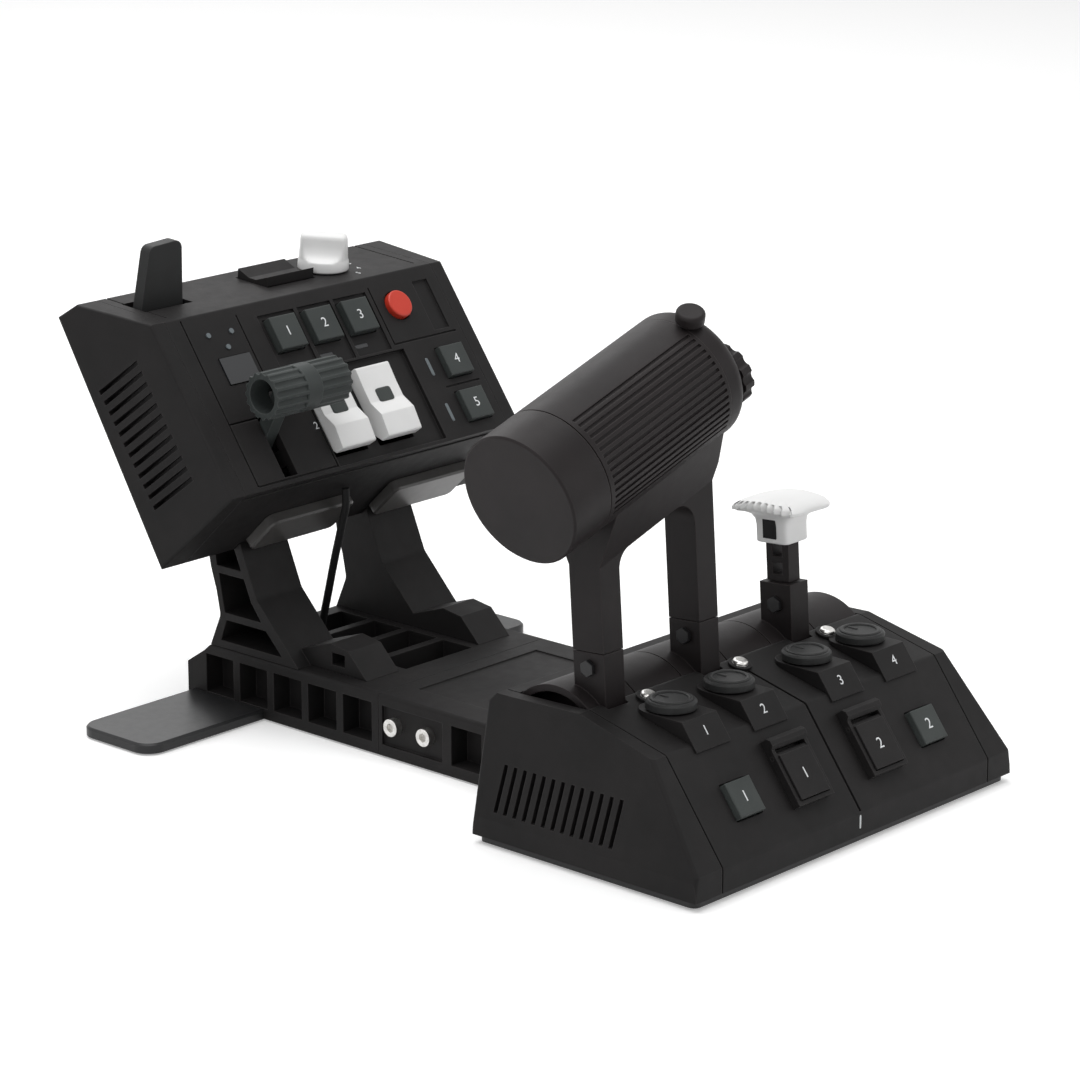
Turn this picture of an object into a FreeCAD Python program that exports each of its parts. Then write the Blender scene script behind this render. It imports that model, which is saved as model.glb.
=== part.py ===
"""Desk throttle quadrant: a lever base, a rail with two support arms and a tilted switch panel.

Frame: millimetres, +Z up, +X to the user's right, +Y away from the user.  The origin is the centre
of the screw pattern in the underside of the lever base, which is the plane Z = 0.
"""
import FreeCAD, Part
import math
import os
import re
import Sketcher

# ---------------------------------------------------------------------------- driving dimensions
DIMENSIONS = {
    # lever base: outline seen from the side
    "base_wide": 186.0,        # across the side covers at the desk
    "base_deep": 106.0,
    "housing_wide": 156.0,     # between the two side covers
    "wall": 2.5,
    "plate_thick": 2.5,
    "plate_inset": 1.5,
    "plate_corner": 3.0,
    "toe_top": 12.0,           # height of the upright toe under the sloping front
    "front_tilt": 53.3,        # slope of the control face, degrees from the desk
    "front_long": 44.2,
    "deck_tilt": 13.8,
    "deck_end": 9.0,
    "groove_deep": 1.0,
    "groove_wide": 1.3,
    "rear_shoulder": 4.0,
    "rear_land": 6.5,
    "land_top": 55.2,
    "rear_break": 51.0,
    "cover_lean": 11.3,        # inward lean of the side covers, degrees
    "lean_start": 10.0,
    "fold_round": 2.5,
    "cover_gap": 0.7,
    "cover_wall": 9.5,         # cover's depth outside its cavity
    "cover_round": 1.6,
    "vent_count": 13,
    "vent_pitch": 4.6,
    "vent_width": 1.9,
    "vent_low": 13.0,
    "vent_high": 31.0,
    "vent_sink": 6.0,
    "vent_slant": 2.4,
    "vent_middle": 11.3,       # depth position of the middle vent
    "cavity_front": -22.0,
    "cavity_top": 26.0,
    "foot_size": 14.0,
    "foot_proud": 0.8,
    "foot_inset_side": 16.0,
    "foot_inset_end": 13.0,
    "base_bolt_x": 100.0,      # screw pattern in the base plate
    "base_bolt_y": 60.0,
    "bolt_hole": 4.3,
    # drum and levers
    "axle_y": 26.0,
    "axle_z": 37.5,
    "axle_dia": 8.0,
    "bearing_dia": 16.0,
    "bearing_wide": 4.0,
    "drum_radius": 24.0,
    "drum_gap": 0.5,
    "drum_skin": 2.6,
    "drum_boss": 16.0,
    "drum_web": 6.0,
    "segment_count": 6,
    "segment_gap": 0.6,
    "running_fit": 0.05,
    "hub_front": 96.0,         # skin angles from the lever's own upright, degrees
    "hub_tail": 42.0,
    "blank_front": 45.0,
    "blank_tail": 43.0,
    "socket_root": 12.0,
    "lever_lean": 3.86,
    "lever_set": 12.3,         # lever centre line in front of the axle
    "lever_wide": 10.6,
    "lever_deep": 14.6,
    "socket_top": 36.2,
    "clamp_head": 5.5,
    "clamp_height": 1.6,
    "clamp_z": 30.5,
    "clamp_shank": 1.5,
    "clamp_long": 7.0,
    "leg_left_x": 66.0,        # levers' distances to the left of the middle
    "leg_right_x": 13.0,
    "small_x": 40.0,
    # grip
    "grip_radius": 25.2,
    "grip_tilt": 17.2,
    "grip_start_x": -103.5,    # centre of the round end cap's face
    "grip_start_z": 98.2,      # the same along the lever, from the axle
    "grip_cap_long": 20.0,
    "grip_long": 90.5,
    "grip_seam": 0.5,
    "grip_keel": 38.5,         # underside of the yoke below the grip's axis
    "keel_start": 24.0,
    "keel_root": 17.5,
    "keel_flare": 17.5,
    "arch_round": 8.0,
    "rib_count": 16,
    "rib_first": 33.0,         # angle of the first groove from the top of the grip
    "rib_step": 6.2,
    "rib_width": 1.3,
    "rib_sink": 0.8,
    "rib_start": 22.5,
    "rib_end": 89.0,
    "collar_long": 10.5,
    "collar_radius": 25.2,
    "collar_round": 6.0,
    "dial_radius": 12.0,
    "dial_long": 5.0,
    "dial_drop": 3.0,
    "dial_front": 11.0,
    "hat_along": 94.2,
    "hat_turn": 24.0,          # the hat's lean from the top of the grip towards the user
    "hat_radius": 5.4,
    "hat_height": 4.2,
    "hat_stem": 2.2,
    "hat_gap": 1.0,
    "hat_socket": 4.0,
    "dial_shaft": 2.5,
    "dial_sink": 8.0,
    # small lever
    "stem_wide": 6.4,
    "stem_deep": 10.6,
    "stem_top": 54.0,
    "stem_slot": 4.6,
    "handle_top": 70.5,
    "handle_foot_wide": 14.0,
    "handle_foot_deep": 15.0,
    "handle_head_wide": 35.0,
    "handle_head_deep": 21.0,
    "handle_lip": 4.0,
    # controls on the lever base
    "knob_x": 55.0,
    "knob_near_x": 22.5,
    "knob_y": -9.0,
    "knob_radius": 9.4,
    "knob_high": 3.2,
    "knob_gap": 0.4,
    "knob_shaft": 3.0,
    "pod_top": 55.3,
    "tile_wide": 19.0,
    "tile_proud": 0.8,
    "key_size": 13.6,
    "key_high": 2.6,
    "key_gap": 0.5,
    "key_x": 54.0,
    "key_s": 20.3,
    "guard_x": 22.0,
    "guard_s": 21.5,
    "guard_wide": 20.0,
    "guard_long": 24.0,
    "guard_hole": 12.0,
    "guard_wall": 1.6,
    "guard_high": 3.6,
    "guard_lid": 1.4,
    "hood_long": 3.0,
    "hood_rise": 1.4,
    "guard_pin": 1.6,
    "screw_y": 4.6,
    "ring_boss": 9.0,
    "ring_high": 1.2,
    "dome_dia": 6.0,
    "dome_high": 1.5,
    # rail
    "rail_wide": 96.0,
    "rail_high": 25.0,
    "rail_seam": 145.0,
    "rail_end": 253.0,
    "rail_end_high": 15.0,
    "pocket_sink": 9.0,
    "pocket_rib": 3.6,
    "pocket_low": 4.5,
    "pocket_high": 20.5,
    "joint_gap": 0.3,
    "bolt_head": 7.0,
    "bolt_head_high": 3.4,
    "bolt_pitch": 17.4,
    "bolt_mid": 128.3,
    "bolt_z": 13.0,
    "foot_plate_wide": 220.0,
    "foot_plate_front": 209.0,
    "foot_plate_deep": 41.0,
    "foot_plate_thick": 4.0,
    "foot_plate_round": 8.0,
    # arms
    "arm_inner": 23.0,
    "arm_skin": 3.0,
    "arm_web": 5.0,
    "block_wide": 18.0,
    "block_high": 10.0,
    "bracket_wide": 46.0,
    "bracket_long": 20.0,
    "bracket_thick": 4.6,
    "pad_gap": 0.1,
    "bracket_left": 46.0,
    "bracket_right": 23.0,
    "bracket_round": 3.0,
    # switch panel
    "panel_y": 189.0,
    "panel_z": 101.2,
    "panel_tilt": 54.4,
    "panel_long": 75.5,
    "panel_wide": 162.0,       # across the control face
    "panel_back_wide": 175.0,
    "panel_skin": 4.0,
    "end_thick": 7.0,
    "panel_gap": 0.2,
    "roof_run": 39.1,
    "roof_tilt": 4.1,
    "small_top": 38.6,
    "cap_bevel": 0.8,
    "hat_lift": 1.4,
    "dial_gap": 0.4,
    "handle_waist": 57.0,
    "handle_flare": 63.0,
    "button_wide": 6.0,
    "button_high": 9.4,
    "button_z": 61.0,
    "button_proud": 0.6,
    "pod_end": 2.0,
    "pod_round": 7.0,
    "tile_foot": 41.0,         # label slope, measured up the control face
    "tile_head": 53.0,
    "knob_lift": 0.5,
    "knob_seat_low": 44.0,
    "pod_seat": 55.3,
    "key_bevel": 0.5,
    "key_flange": 1.5,
    "guard_hinge": 29.2,
    "board_half": 66.0,
    "board_post": 1.5,
    "board_depth": 10.5,
    "board_post_x": 36.0,
    "switch_depth": 8.2,
    "pocket_pitch": 19.4,
    "rail_round": 1.5,
    "top_panel_half": 34.0,
    "bolt_panel_sink": 1.5,
    "bolt_socket": 1.9,
    "tray_half": 19.0,
    "tray_front": 158.0,
    "tray_pitch": 19.4,
    "tray_count": 4,
    "tray_deep": 10.0,
    "arm_front": 189.0,
    "arm_corner_y": 224.3,
    "arm_corner_z": 67.3,
    "arm_top_y": 240.0,
    "arm_top_z": 92.6,
    "arm_round": 5.0,
    "block_front": 158.0,
    "clamp_from": 24.0,
    "under_turn": 98.1,        # underside measured from the control face, degrees
    "roof_turn": 50.3,
    "under_s": -6.9,
    "under_h": 48.3,
    "back_s": 101.0,
    "back_h": 41.4,
    "shell_skin": 3.0,
    "panel_round": 1.2,
    "recess_deep": 1.0,
    "roof_seam": 69.0,
    "end_round": 1.2,
    "end_vent_s": 14.0,
    "end_vent_deep": 38.0,
    "end_vent_long": 24.0,
    "end_vent_count": 12,
    "panel_key_size": 14.2,
    "row_key_left": -18.0,     # centres of the three keys in the panel's top row
    "row_key_middle": 2.0,
    "row_key_right": 22.3,
    "key_row_s": 60.0,
    "side_key_x": 61.5,        # the two keys at the panel's right edge
    "side_key_shift": 0.5,
    "side_key_high": 32.3,
    "side_key_low": 12.3,
    "channel_wide": 10.2,      # the shallow channels round the top row
    "channel_near": 8.4,
    "channel_below": 16.5,
    "channel_above": 9.5,
    "side_key_size": 13.2,
    "well_left": -22.0,
    "well_right": 38.5,
    "well_low": 1.5,
    "well_high": 42.5,
    "well_deep": 1.8,
    "rocker_left_x": -12.0,
    "rocker_right_x": 14.0,
    "rocker_s": 22.5,
    "rocker_wide": 18.6,
    "rocker_long": 31.0,
    "rocker_lip": 5.0,
    "rocker_crest": 6.2,
    "rocker_dip": 3.4,
    "rocker_axis": -6.5,
    "cheek_thick": 2.0,
    "cheek_half": 3.4,
    "pin_radius": 1.3,
    "red_x": 46.2,
    "red_s": 60.9,
    "red_radius": 6.0,
    "red_high": 2.4,
    "flap_x": -48.0,
    "flap_shift": 7.0,
    "flap_arm_wide": 6.0,
    "flap_slot_low": 3.0,
    "flap_slot_high": 37.0,
    "flap_pivot_s": 12.0,
    "flap_pivot_deep": 22.0,
    "flap_knob_s": 19.5,
    "flap_knob_h": 40.0,
    "flap_knob_long": 40.0,
    "flap_knob_radius": 9.4,
    "gear_x": -57.5,
    "gear_t": 22.0,
    "gear_travel": 7.0,
    "gear_wide": 23.0,
    "gear_high": 32.0,
    "gear_thick": 5.0,
    "gear_deep": 7.0,
    "roof_rocker_x": 7.0,
    "roof_rocker_t": 22.0,
    "roof_rocker_wide": 26.0,
    "roof_rocker_long": 17.0,
    "roof_rocker_deep": 6.0,
    "mode_x": 32.0,
    "mode_t": 20.0,
    "mode_radius": 10.5,
    "mode_high": 15.0,
    "lamp_radius": 1.1,
    "cable_dia": 3.2,
}

DOC = FreeCAD.newDocument("throttle_quadrant")
SHEET = DOC.addObject("Spreadsheet::Sheet", "Dims")
for row, (alias, number) in enumerate(DIMENSIONS.items(), start=1):
    SHEET.set(f"A{row}", alias)
    SHEET.set(f"B{row}", str(number))
    SHEET.setAlias(f"B{row}", alias)
DOC.recompute()

PARTS = []          # every sub-part, in the order in which it was made


# ---------------------------------------------------------------------------- expression helpers
def bind(text):
    """Turn bare dimension names into references to the sheet."""
    return re.sub(r"[a-z][a-z_]*", lambda m: "Dims." + m.group() if m.group() in DIMENSIONS
                  else m.group(), str(text))


def value(text):
    """The number that an expression of dimension names gives."""
    return float(SHEET.evalExpression(bind(text)))


def place(x, y, z, axis="0; 0; 1", angle="0"):
    """A placement expression: a turn about an axis, then a move."""
    return f"placement(vector({x}; {y}; {z}); rotation(vector({axis}); {angle}))"


X_TURN = "1; 0; 0"
Y_TURN = "0; 1; 0"
FRONT = place("0", "-base_deep / 2", "toe_top", X_TURN, "front_tilt")
KNEE_Y = "(-base_deep / 2 + front_long * cos(front_tilt))"
KNEE_Z = "(toe_top + front_long * sin(front_tilt))"
DECK = place("0", KNEE_Y, KNEE_Z, X_TURN, "deck_tilt")
AXLE = place("0", "axle_y", "axle_z")
LEVER = place("0", "axle_y", "axle_z", X_TURN, "-lever_lean")
GRIP = LEVER + " * " + place("grip_start_x", "-lever_set", "grip_start_z", Y_TURN, "-grip_tilt")
PANEL = place("0", "panel_y", "panel_z", X_TURN, "panel_tilt")
ROOF_Y = "(panel_y + panel_long * cos(panel_tilt))"
ROOF_Z = "(panel_z + panel_long * sin(panel_tilt))"
ROOF = place("0", ROOF_Y, ROOF_Z, X_TURN, "roof_tilt")
WORLD = place("0", "0", "0")


def seat(part, frame, x="0", y="0", z="0", axis="0; 0; 1", angle="0"):
    """Put a sub-part in one of the assembly's frames."""
    part.setExpression("Placement", bind(frame + " * " + place(x, y, z, axis, angle)))
    return part


# ---------------------------------------------------------------------------- modelling helpers
def new_body(label):
    body = DOC.addObject("PartDesign::Body", label)
    body.Label = label
    PARTS.append(body)
    return body


def origin_item(body, role):
    return [item for item in body.Origin.OriginFeatures if item.Role == role][0]


def new_sketch(body, plane, start, frame=WORLD):
    """A sketch on a body's own plane or in a frame, moved along its normal to `start`."""
    sketch = body.newObject("Sketcher::SketchObject", "Sketch")
    sketch.AttachmentSupport = [(origin_item(body, plane), "")]
    sketch.MapMode = "FlatFace"
    sketch.setExpression("AttachmentOffset", bind(frame + " * " + place("0", "0", start)))
    return sketch


def draw_outline(sketch, points):
    """A closed outline of straight lines whose corners are bound to the sheet."""
    corners = [(value(x), value(y)) for x, y in points]
    first = sketch.GeometryCount
    count = len(corners)
    for i, (x, y) in enumerate(corners):
        x_next, y_next = corners[(i + 1) % count]
        line = Part.LineSegment(FreeCAD.Vector(x, y, 0), FreeCAD.Vector(x_next, y_next, 0))
        sketch.addGeometry(line, False)
    for i in range(count):
        joined = Sketcher.Constraint("Coincident", first + i, 2, first + (i + 1) % count, 1)
        sketch.addConstraint(joined)
    for i in range(count):
        for kind, number, text in (("DistanceX", corners[i][0], points[i][0]),
                                   ("DistanceY", corners[i][1], points[i][1])):
            index = sketch.addConstraint(Sketcher.Constraint(kind, -1, 1, first + i, 1, number))
            name = f"corner{first + i}{kind[-1]}"
            sketch.renameConstraint(index, name)
            sketch.setExpression("Constraints." + name, bind(text))


def draw_circle(sketch, x, y, radius):
    """A circle bound to the sheet."""
    circle = Part.Circle(FreeCAD.Vector(value(x), value(y), 0), FreeCAD.Vector(0, 0, 1),
                         value(radius))
    index = sketch.addGeometry(circle, False)
    rules = (("DistanceX", (-1, 1, index, 3, value(x)), x, f"x{index}"),
             ("DistanceY", (-1, 1, index, 3, value(y)), y, f"y{index}"),
             ("Radius", (index, value(radius)), radius, f"radius{index}"))
    for kind, arguments, text, name in rules:
        number = sketch.addConstraint(Sketcher.Constraint(kind, *arguments))
        sketch.renameConstraint(number, name)
        sketch.setExpression("Constraints." + name, bind(text))


def box_points(x0, y0, x1, y1):
    return [(x0, y0), (x1, y0), (x1, y1), (x0, y1)]


def sweep(body, plane, low, high, outline=(), circles=(), cut=False, frame=WORLD):
    """Pad or pocket a drawing between two positions along the plane's axis.

    The XZ plane's normal points to -Y, so its drawing starts at `high`.
    """
    start = f"-({high})" if plane == "XZ_Plane" else low
    sketch = new_sketch(body, plane, start, frame)
    if outline:
        draw_outline(sketch, outline)
    for circle in circles:
        draw_circle(sketch, *circle)
    kind = "PartDesign::Pocket" if cut else "PartDesign::Pad"
    feature = body.newObject(kind, "Cut" if cut else "Pad")
    feature.Profile = sketch
    feature.setExpression("Length", bind(f"({high}) - ({low})"))
    feature.Reversed = cut
    return feature


def round_edges(body, test, radius, kind="PartDesign::Fillet"):
    """Fillet or chamfer the edges of the body's tip that pass a test of their middle point."""
    DOC.recompute()
    base = body.Tip
    names = []
    for number, edge in enumerate(base.Shape.Edges, start=1):
        middle = edge.valueAt((edge.FirstParameter + edge.LastParameter) / 2)
        if edge.Length > 0.2 and test(middle, edge):
            names.append(f"Edge{number}")
    feature = body.newObject(kind, "Round")
    feature.Base = (base, names)
    feature.setExpression("Size" if kind.endswith("Chamfer") else "Radius", bind(radius))
    return feature


def repeat_line(body, feature, axis, pitch, count):
    """Repeat a feature in a row along one of the body's axes."""
    DOC.recompute()
    row = body.newObject("PartDesign::LinearPattern", "Row")
    row.Originals = [feature]
    row.Direction = (origin_item(body, axis), [""])
    row.setExpression("Length", bind(f"({pitch}) * (({count}) - 1)"))
    row.setExpression("Occurrences", bind(count))
    body.Tip = row
    return row


def repeat_round(body, feature, axis, step, count):
    """Repeat a feature about one of the body's axes."""
    DOC.recompute()
    ring = body.newObject("PartDesign::PolarPattern", "Ring")
    ring.Originals = [feature]
    ring.Axis = (origin_item(body, axis), [""])
    ring.setExpression("Angle", bind(f"({step}) * (({count}) - 1)"))
    ring.setExpression("Occurrences", bind(count))
    body.Tip = ring
    return ring


def along(edge, direction):
    """Whether a straight edge runs along a direction."""
    start = edge.valueAt(edge.FirstParameter)
    end = edge.valueAt(edge.LastParameter)
    run = end.sub(start)
    return run.Length > 0.1 and abs(run.normalize().dot(direction)) > 0.999


UP = FreeCAD.Vector(0, 0, 1)
SIDE = FreeCAD.Vector(1, 0, 0)
DEPTH = FreeCAD.Vector(0, 1, 0)


def group(label, members):
    """Several like solids kept as one sub-part."""
    joined = DOC.addObject("Part::Compound", label)
    joined.Label = label
    joined.Links = members
    for member in members:
        PARTS.remove(member)
    PARTS.append(joined)
    return joined


def box(body, x0, x1, y0, y1, low, high, cut=False, frame=WORLD):
    """A rectangular block or pocket standing on the XY plane of a frame."""
    return sweep(body, "XY_Plane", low, high, box_points(x0, y0, x1, y1), cut=cut, frame=frame)


def disc(body, x, y, radius, low, high, cut=False, frame=WORLD):
    """A round pad or hole standing on the XY plane of a frame."""
    return sweep(body, "XY_Plane", low, high, circles=[(x, y, radius)], cut=cut, frame=frame)


def rod(body, y, z, radius, low, high, cut=False):
    """A round pad or hole along the body's X axis."""
    return sweep(body, "YZ_Plane", low, high, circles=[(y, z, radius)], cut=cut)


# ---------------------------------------------------------------------------- lever base
def skin_points(depth):
    """Toe, knee and deck edge of the control face, `depth` under the surface."""
    half_turn = "((front_tilt - deck_tilt) / 2)"
    middle = "((front_tilt + deck_tilt) / 2)"
    reach = f"({depth}) / cos{half_turn}"
    deck_end_z = f"{KNEE_Z} + (deck_end - {KNEE_Y}) * tan(deck_tilt)"
    return [(f"-base_deep / 2 + ({depth})", f"toe_top - ({depth}) * tan(45 - front_tilt / 2)"),
            (f"{KNEE_Y} + {reach} * sin{middle}", f"{KNEE_Z} - {reach} * cos{middle}"),
            ("deck_end", f"{deck_end_z} - ({depth}) / cos(deck_tilt)")]


def base_outline(depth):
    """The closed side outline of the lever base, `depth` inside its surface."""
    return ([(f"-base_deep / 2 + ({depth})", "plate_thick")] + skin_points(depth)
            + [("base_deep / 2 - rear_shoulder - rear_land", f"land_top - ({depth})"),
               (f"base_deep / 2 - rear_shoulder - ({depth}) / 2", f"land_top - ({depth})"),
               (f"base_deep / 2 - ({depth})", f"rear_break - ({depth}) / 2"),
               (f"base_deep / 2 - ({depth})", "plate_thick")])


def base_plate():
    body = new_body("base_plate")
    half_x = "(base_wide / 2 - plate_inset)"
    half_y = "(base_deep / 2 - plate_inset)"
    box(body, f"-{half_x}", half_x, f"-{half_y}", half_y, "0", "plate_thick")
    bolts = [(f"{i} * base_bolt_x / 2", f"{j} * base_bolt_y / 2", "bolt_hole / 2")
             for i in (-1, 1) for j in (-1, 1)]
    sweep(body, "XY_Plane", "0", "plate_thick", circles=bolts, cut=True)
    round_edges(body, lambda middle, edge: along(edge, UP) and abs(middle.x) > 80, "plate_corner")
    return body


def base_housing():
    body = new_body("base_housing")
    half = "housing_wide / 2"
    sweep(body, "YZ_Plane", f"-{half}", half, base_outline("0"))
    round_edges(body, lambda middle, edge: along(edge, SIDE) and middle.z > 8 and middle.y < 0,
                "fold_round")
    sweep(body, "YZ_Plane", f"-{half} + wall", f"{half} - wall", base_outline("wall"), cut=True)
    rod(body, "axle_y", "axle_z", "drum_radius + drum_gap", f"-{half}", half, cut=True)
    groove = skin_points("0") + skin_points("groove_deep")[::-1]
    sweep(body, "YZ_Plane", "-groove_wide / 2", "groove_wide / 2", groove, cut=True)
    for x in ("-key_x", "key_x"):
        hole_half = "(key_size / 2 + key_gap)"
        box(body, f"{x} - {hole_half}", f"{x} + {hole_half}", f"key_s - {hole_half}",
            f"key_s + {hole_half}", "-2 * wall", "1", cut=True, frame=FRONT)
    for x in ("-guard_x", "guard_x"):
        box(body, f"{x} - guard_hole / 2", f"{x} + guard_hole / 2", "guard_s - guard_hole / 2",
            "guard_s + guard_hole / 2", "-2 * wall", "1", cut=True, frame=FRONT)
    for x, y in KNOB_SEATS:
        disc(body, x, y, "knob_shaft + knob_gap", "knob_seat_low", "pod_top", cut=True)
    for x in SCREW_SEATS:
        disc(body, x, SCREW_S, "dome_dia / 4 + knob_gap", "-2 * wall", "1", cut=True, frame=DECK)
    for x in ("-leg_left_x", "-leg_right_x", "small_x"):
        half = "(lever_wide / 2 + joint_gap)"
        box(body, f"{x} - {half}", f"{x} + {half}", "axle_y - lever_set - lever_deep / 2 - joint_gap",
            "axle_y", "knob_seat_low", "60", cut=True)
    return body


KNOB_SEATS = [("-knob_x", "knob_y"), ("-knob_near_x", "knob_y"),
              ("knob_near_x", "knob_y"), ("knob_x", "knob_y")]
SCREW_S = f"(screw_y - {KNEE_Y}) / cos(deck_tilt)"
KEY_COLUMNS = [("-key_x", "-guard_x"), ("key_x", "guard_x")]
SCREW_SEATS = ["-housing_wide / 3", "0", "housing_wide / 3"]


def side_cover(label, side):
    """A solid-walled end cover that leans inward, with a low cavity and a bearing seat."""
    body = new_body(label)
    inner = "(housing_wide / 2 + cover_gap)"
    outer = "(base_wide / 2)"

    def span(near, far):
        return (near, far) if side > 0 else (f"-({far})", f"-({near})")

    sweep(body, "YZ_Plane", *span(inner, outer), base_outline("0"))
    lean_x = f"{outer} - (70 - lean_start) * tan(cover_lean)"
    lean = [(outer, "lean_start"), (f"{outer} + 5", "lean_start"), (f"{outer} + 5", "70"),
            (lean_x, "70")]
    if side < 0:
        lean = [(f"-({x})", z) for x, z in lean]
    sweep(body, "XZ_Plane", "-60", "60", lean, cut=True)
    round_edges(body, lambda middle, edge: abs(middle.x) > 83 and 11 < middle.z < 50
                and not along(edge, SIDE), "cover_round")
    cavity_end = "(base_deep / 2 - 3 * wall)"
    cavity = [(f"-{cavity_end}", "plate_thick"), (f"-{cavity_end}", "lean_start"),
              ("cavity_front", "cavity_top"), (cavity_end, "cavity_top"), (cavity_end, "plate_thick")]
    sweep(body, "YZ_Plane", *span(inner, f"{outer} - cover_wall"), cavity, cut=True)
    rod(body, "axle_y", "axle_z", "bearing_dia / 2", *span(inner, f"{inner} + bearing_wide"), cut=True)
    vents(body, side)
    return body


def vents(body, side):
    """A row of blind, slightly raked slots low in a side cover."""
    first = "(vent_middle - vent_pitch * (vent_count - 1) / 2)"
    low = "(base_wide / 2 - vent_sink)"
    high = "(base_wide / 2 + 1)"
    ends = (low, high) if side > 0 else (f"-{high}", f"-{low}")
    outline = [(f"{first} + vent_slant", "vent_low"), (f"{first} + vent_slant + vent_width", "vent_low"),
               (f"{first} + vent_width", "vent_high"), (first, "vent_high")]
    slot = sweep(body, "YZ_Plane", *ends, outline, cut=True)
    repeat_line(body, slot, "Y_Axis", "vent_pitch", "vent_count")


def base_feet():
    pads = []
    for i in (-1, 1):
        for j in (-1, 1):
            pad = new_body("foot_pad")
            half = "foot_size / 2"
            x = f"{i} * (base_wide / 2 - foot_inset_side)"
            y = f"{j} * (base_deep / 2 - foot_inset_end)"
            box(pad, f"{x} - {half}", f"{x} + {half}", f"{y} - {half}", f"{y} + {half}",
                "-foot_proud", "0")
            pads.append(pad)
    for i in (-1, 1):
        strip = new_body("foot_strip")
        x = f"{i} * foot_plate_wide / 3"
        y = "foot_plate_front + foot_plate_deep / 2"
        box(strip, f"{x} - foot_size", f"{x} + foot_size", f"{y} - foot_size / 2",
            f"{y} + foot_size / 2", "-foot_proud", "0")
        pads.append(strip)
    return group("base_feet", pads)


def drum_axle():
    body = new_body("drum_axle")
    end = "housing_wide / 2 + cover_gap + bearing_wide"
    rod(body, "0", "0", "axle_dia / 2", f"-({end})", end)
    return seat(body, AXLE)


def axle_bearings():
    rings = []
    for side in (-1, 1):
        ring = new_body("bearing_ring")
        near = "(housing_wide / 2 + cover_gap)"
        far = "(housing_wide / 2 + cover_gap + bearing_wide)"
        low, high = (near, far) if side > 0 else (f"-{far}", f"-{near}")
        rod(ring, "0", "0", "bearing_dia / 2", low, high)
        rod(ring, "0", "0", "axle_dia / 2", low, high, cut=True)
        rings.append(seat(ring, AXLE))
    return group("axle_bearings", rings)


# ---------------------------------------------------------------------------- drum and levers
def drum_sector(body, low, high, front, tail, bore):
    """A curved skin on a web and a boss, cut to the angles `front` and `tail` from upright."""
    middle = f"(({low}) + ({high})) / 2"
    rod(body, "0", "0", "drum_radius", low, high)
    for start, end in ((low, f"{middle} - drum_web / 2"), (f"{middle} + drum_web / 2", high)):
        rings = [("0", "0", "drum_radius - drum_skin"), ("0", "0", "drum_boss / 2")]
        sweep(body, "YZ_Plane", start, end, circles=rings, cut=True)
    reach = "(2 * drum_radius)"
    wedge = [("0", "0"), (f"-{reach}", f"{reach} * tan(90 - ({front}))"), (f"-{reach}", f"-{reach}"),
             (reach, f"-{reach}"), (reach, f"{reach} * tan(90 - ({tail}))")]
    sweep(body, "YZ_Plane", low, high, wedge, cut=True)
    rod(body, "0", "0", "drum_boss / 2", low, high)
    rod(body, "0", "0", bore, low, high, cut=True)


def segment(number):
    """The two ends of one of the drum's six segments."""
    low = f"-housing_wide / 2 + housing_wide / segment_count * {number} + segment_gap / 2"
    high = f"-housing_wide / 2 + housing_wide / segment_count * {number + 1} - segment_gap / 2"
    return low, high


def drum_blanks():
    covers = []
    for number in (1, 3, 5):
        cover = new_body("drum_cover")
        drum_sector(cover, *segment(number), "blank_front", "blank_tail", "axle_dia / 2")
        covers.append(seat(cover, AXLE))
    return group("drum_blanks", covers)


def lever_hub(label, number, socket_x, top):
    body = new_body(label)
    drum_sector(body, *segment(number), "hub_front", "hub_tail", "axle_dia / 2 + running_fit")
    half = "lever_wide / 2"
    y0 = "-lever_set - lever_deep / 2"
    y1 = "-lever_set + lever_deep / 2"
    box(body, f"{socket_x} - {half}", f"{socket_x} + {half}", y0, y1, "socket_root", top)
    rod(body, "-lever_set", "clamp_z", "clamp_shank", f"{socket_x} - {half}",
        f"{socket_x} - {half} + clamp_long", cut=True)
    return seat(body, LEVER)


def hex_screw(label, x, y, z, head, high, shank, length, frame, axis="0; 1; 0", angle="-90"):
    """A screw whose hexagonal head stands on a face; its own +Z points out of the face."""
    body = new_body(label)
    points = [(f"({head}) / 2 / cos(30) * cos({60 * i})", f"({head}) / 2 / cos(30) * sin({60 * i})")
              for i in range(6)]
    sweep(body, "XY_Plane", "0", high, points)
    disc(body, "0", "0", shank, f"-({length})", "0")
    return seat(body, frame, x, y, z, axis, angle)


def clamp_screws():
    screws = [hex_screw("clamp_screw", f"{x} - lever_wide / 2", "-lever_set", "clamp_z", "clamp_head",
                        "clamp_height", "clamp_shank", "clamp_long", LEVER)
              for x in ("-leg_left_x", "-leg_right_x")]
    return group("clamp_screws", screws)


def grip_point(x, z):
    """A point of the lever frame, written in the grip's tilted frame."""
    across = f"(({x}) - grip_start_x)"
    rise = f"(({z}) - grip_start_z)"
    return (f"{across} * cos(grip_tilt) + {rise} * sin(grip_tilt)",
            f"{rise} * cos(grip_tilt) - {across} * sin(grip_tilt)")


def keel_point(x):
    """The point above `x` of the lever frame that lies inside the keel, in the grip's frame."""
    depth = "(grip_keel - 8)"
    return (f"(({x}) - grip_start_x - {depth} * sin(grip_tilt)) / cos(grip_tilt)", f"-{depth}")


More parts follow.
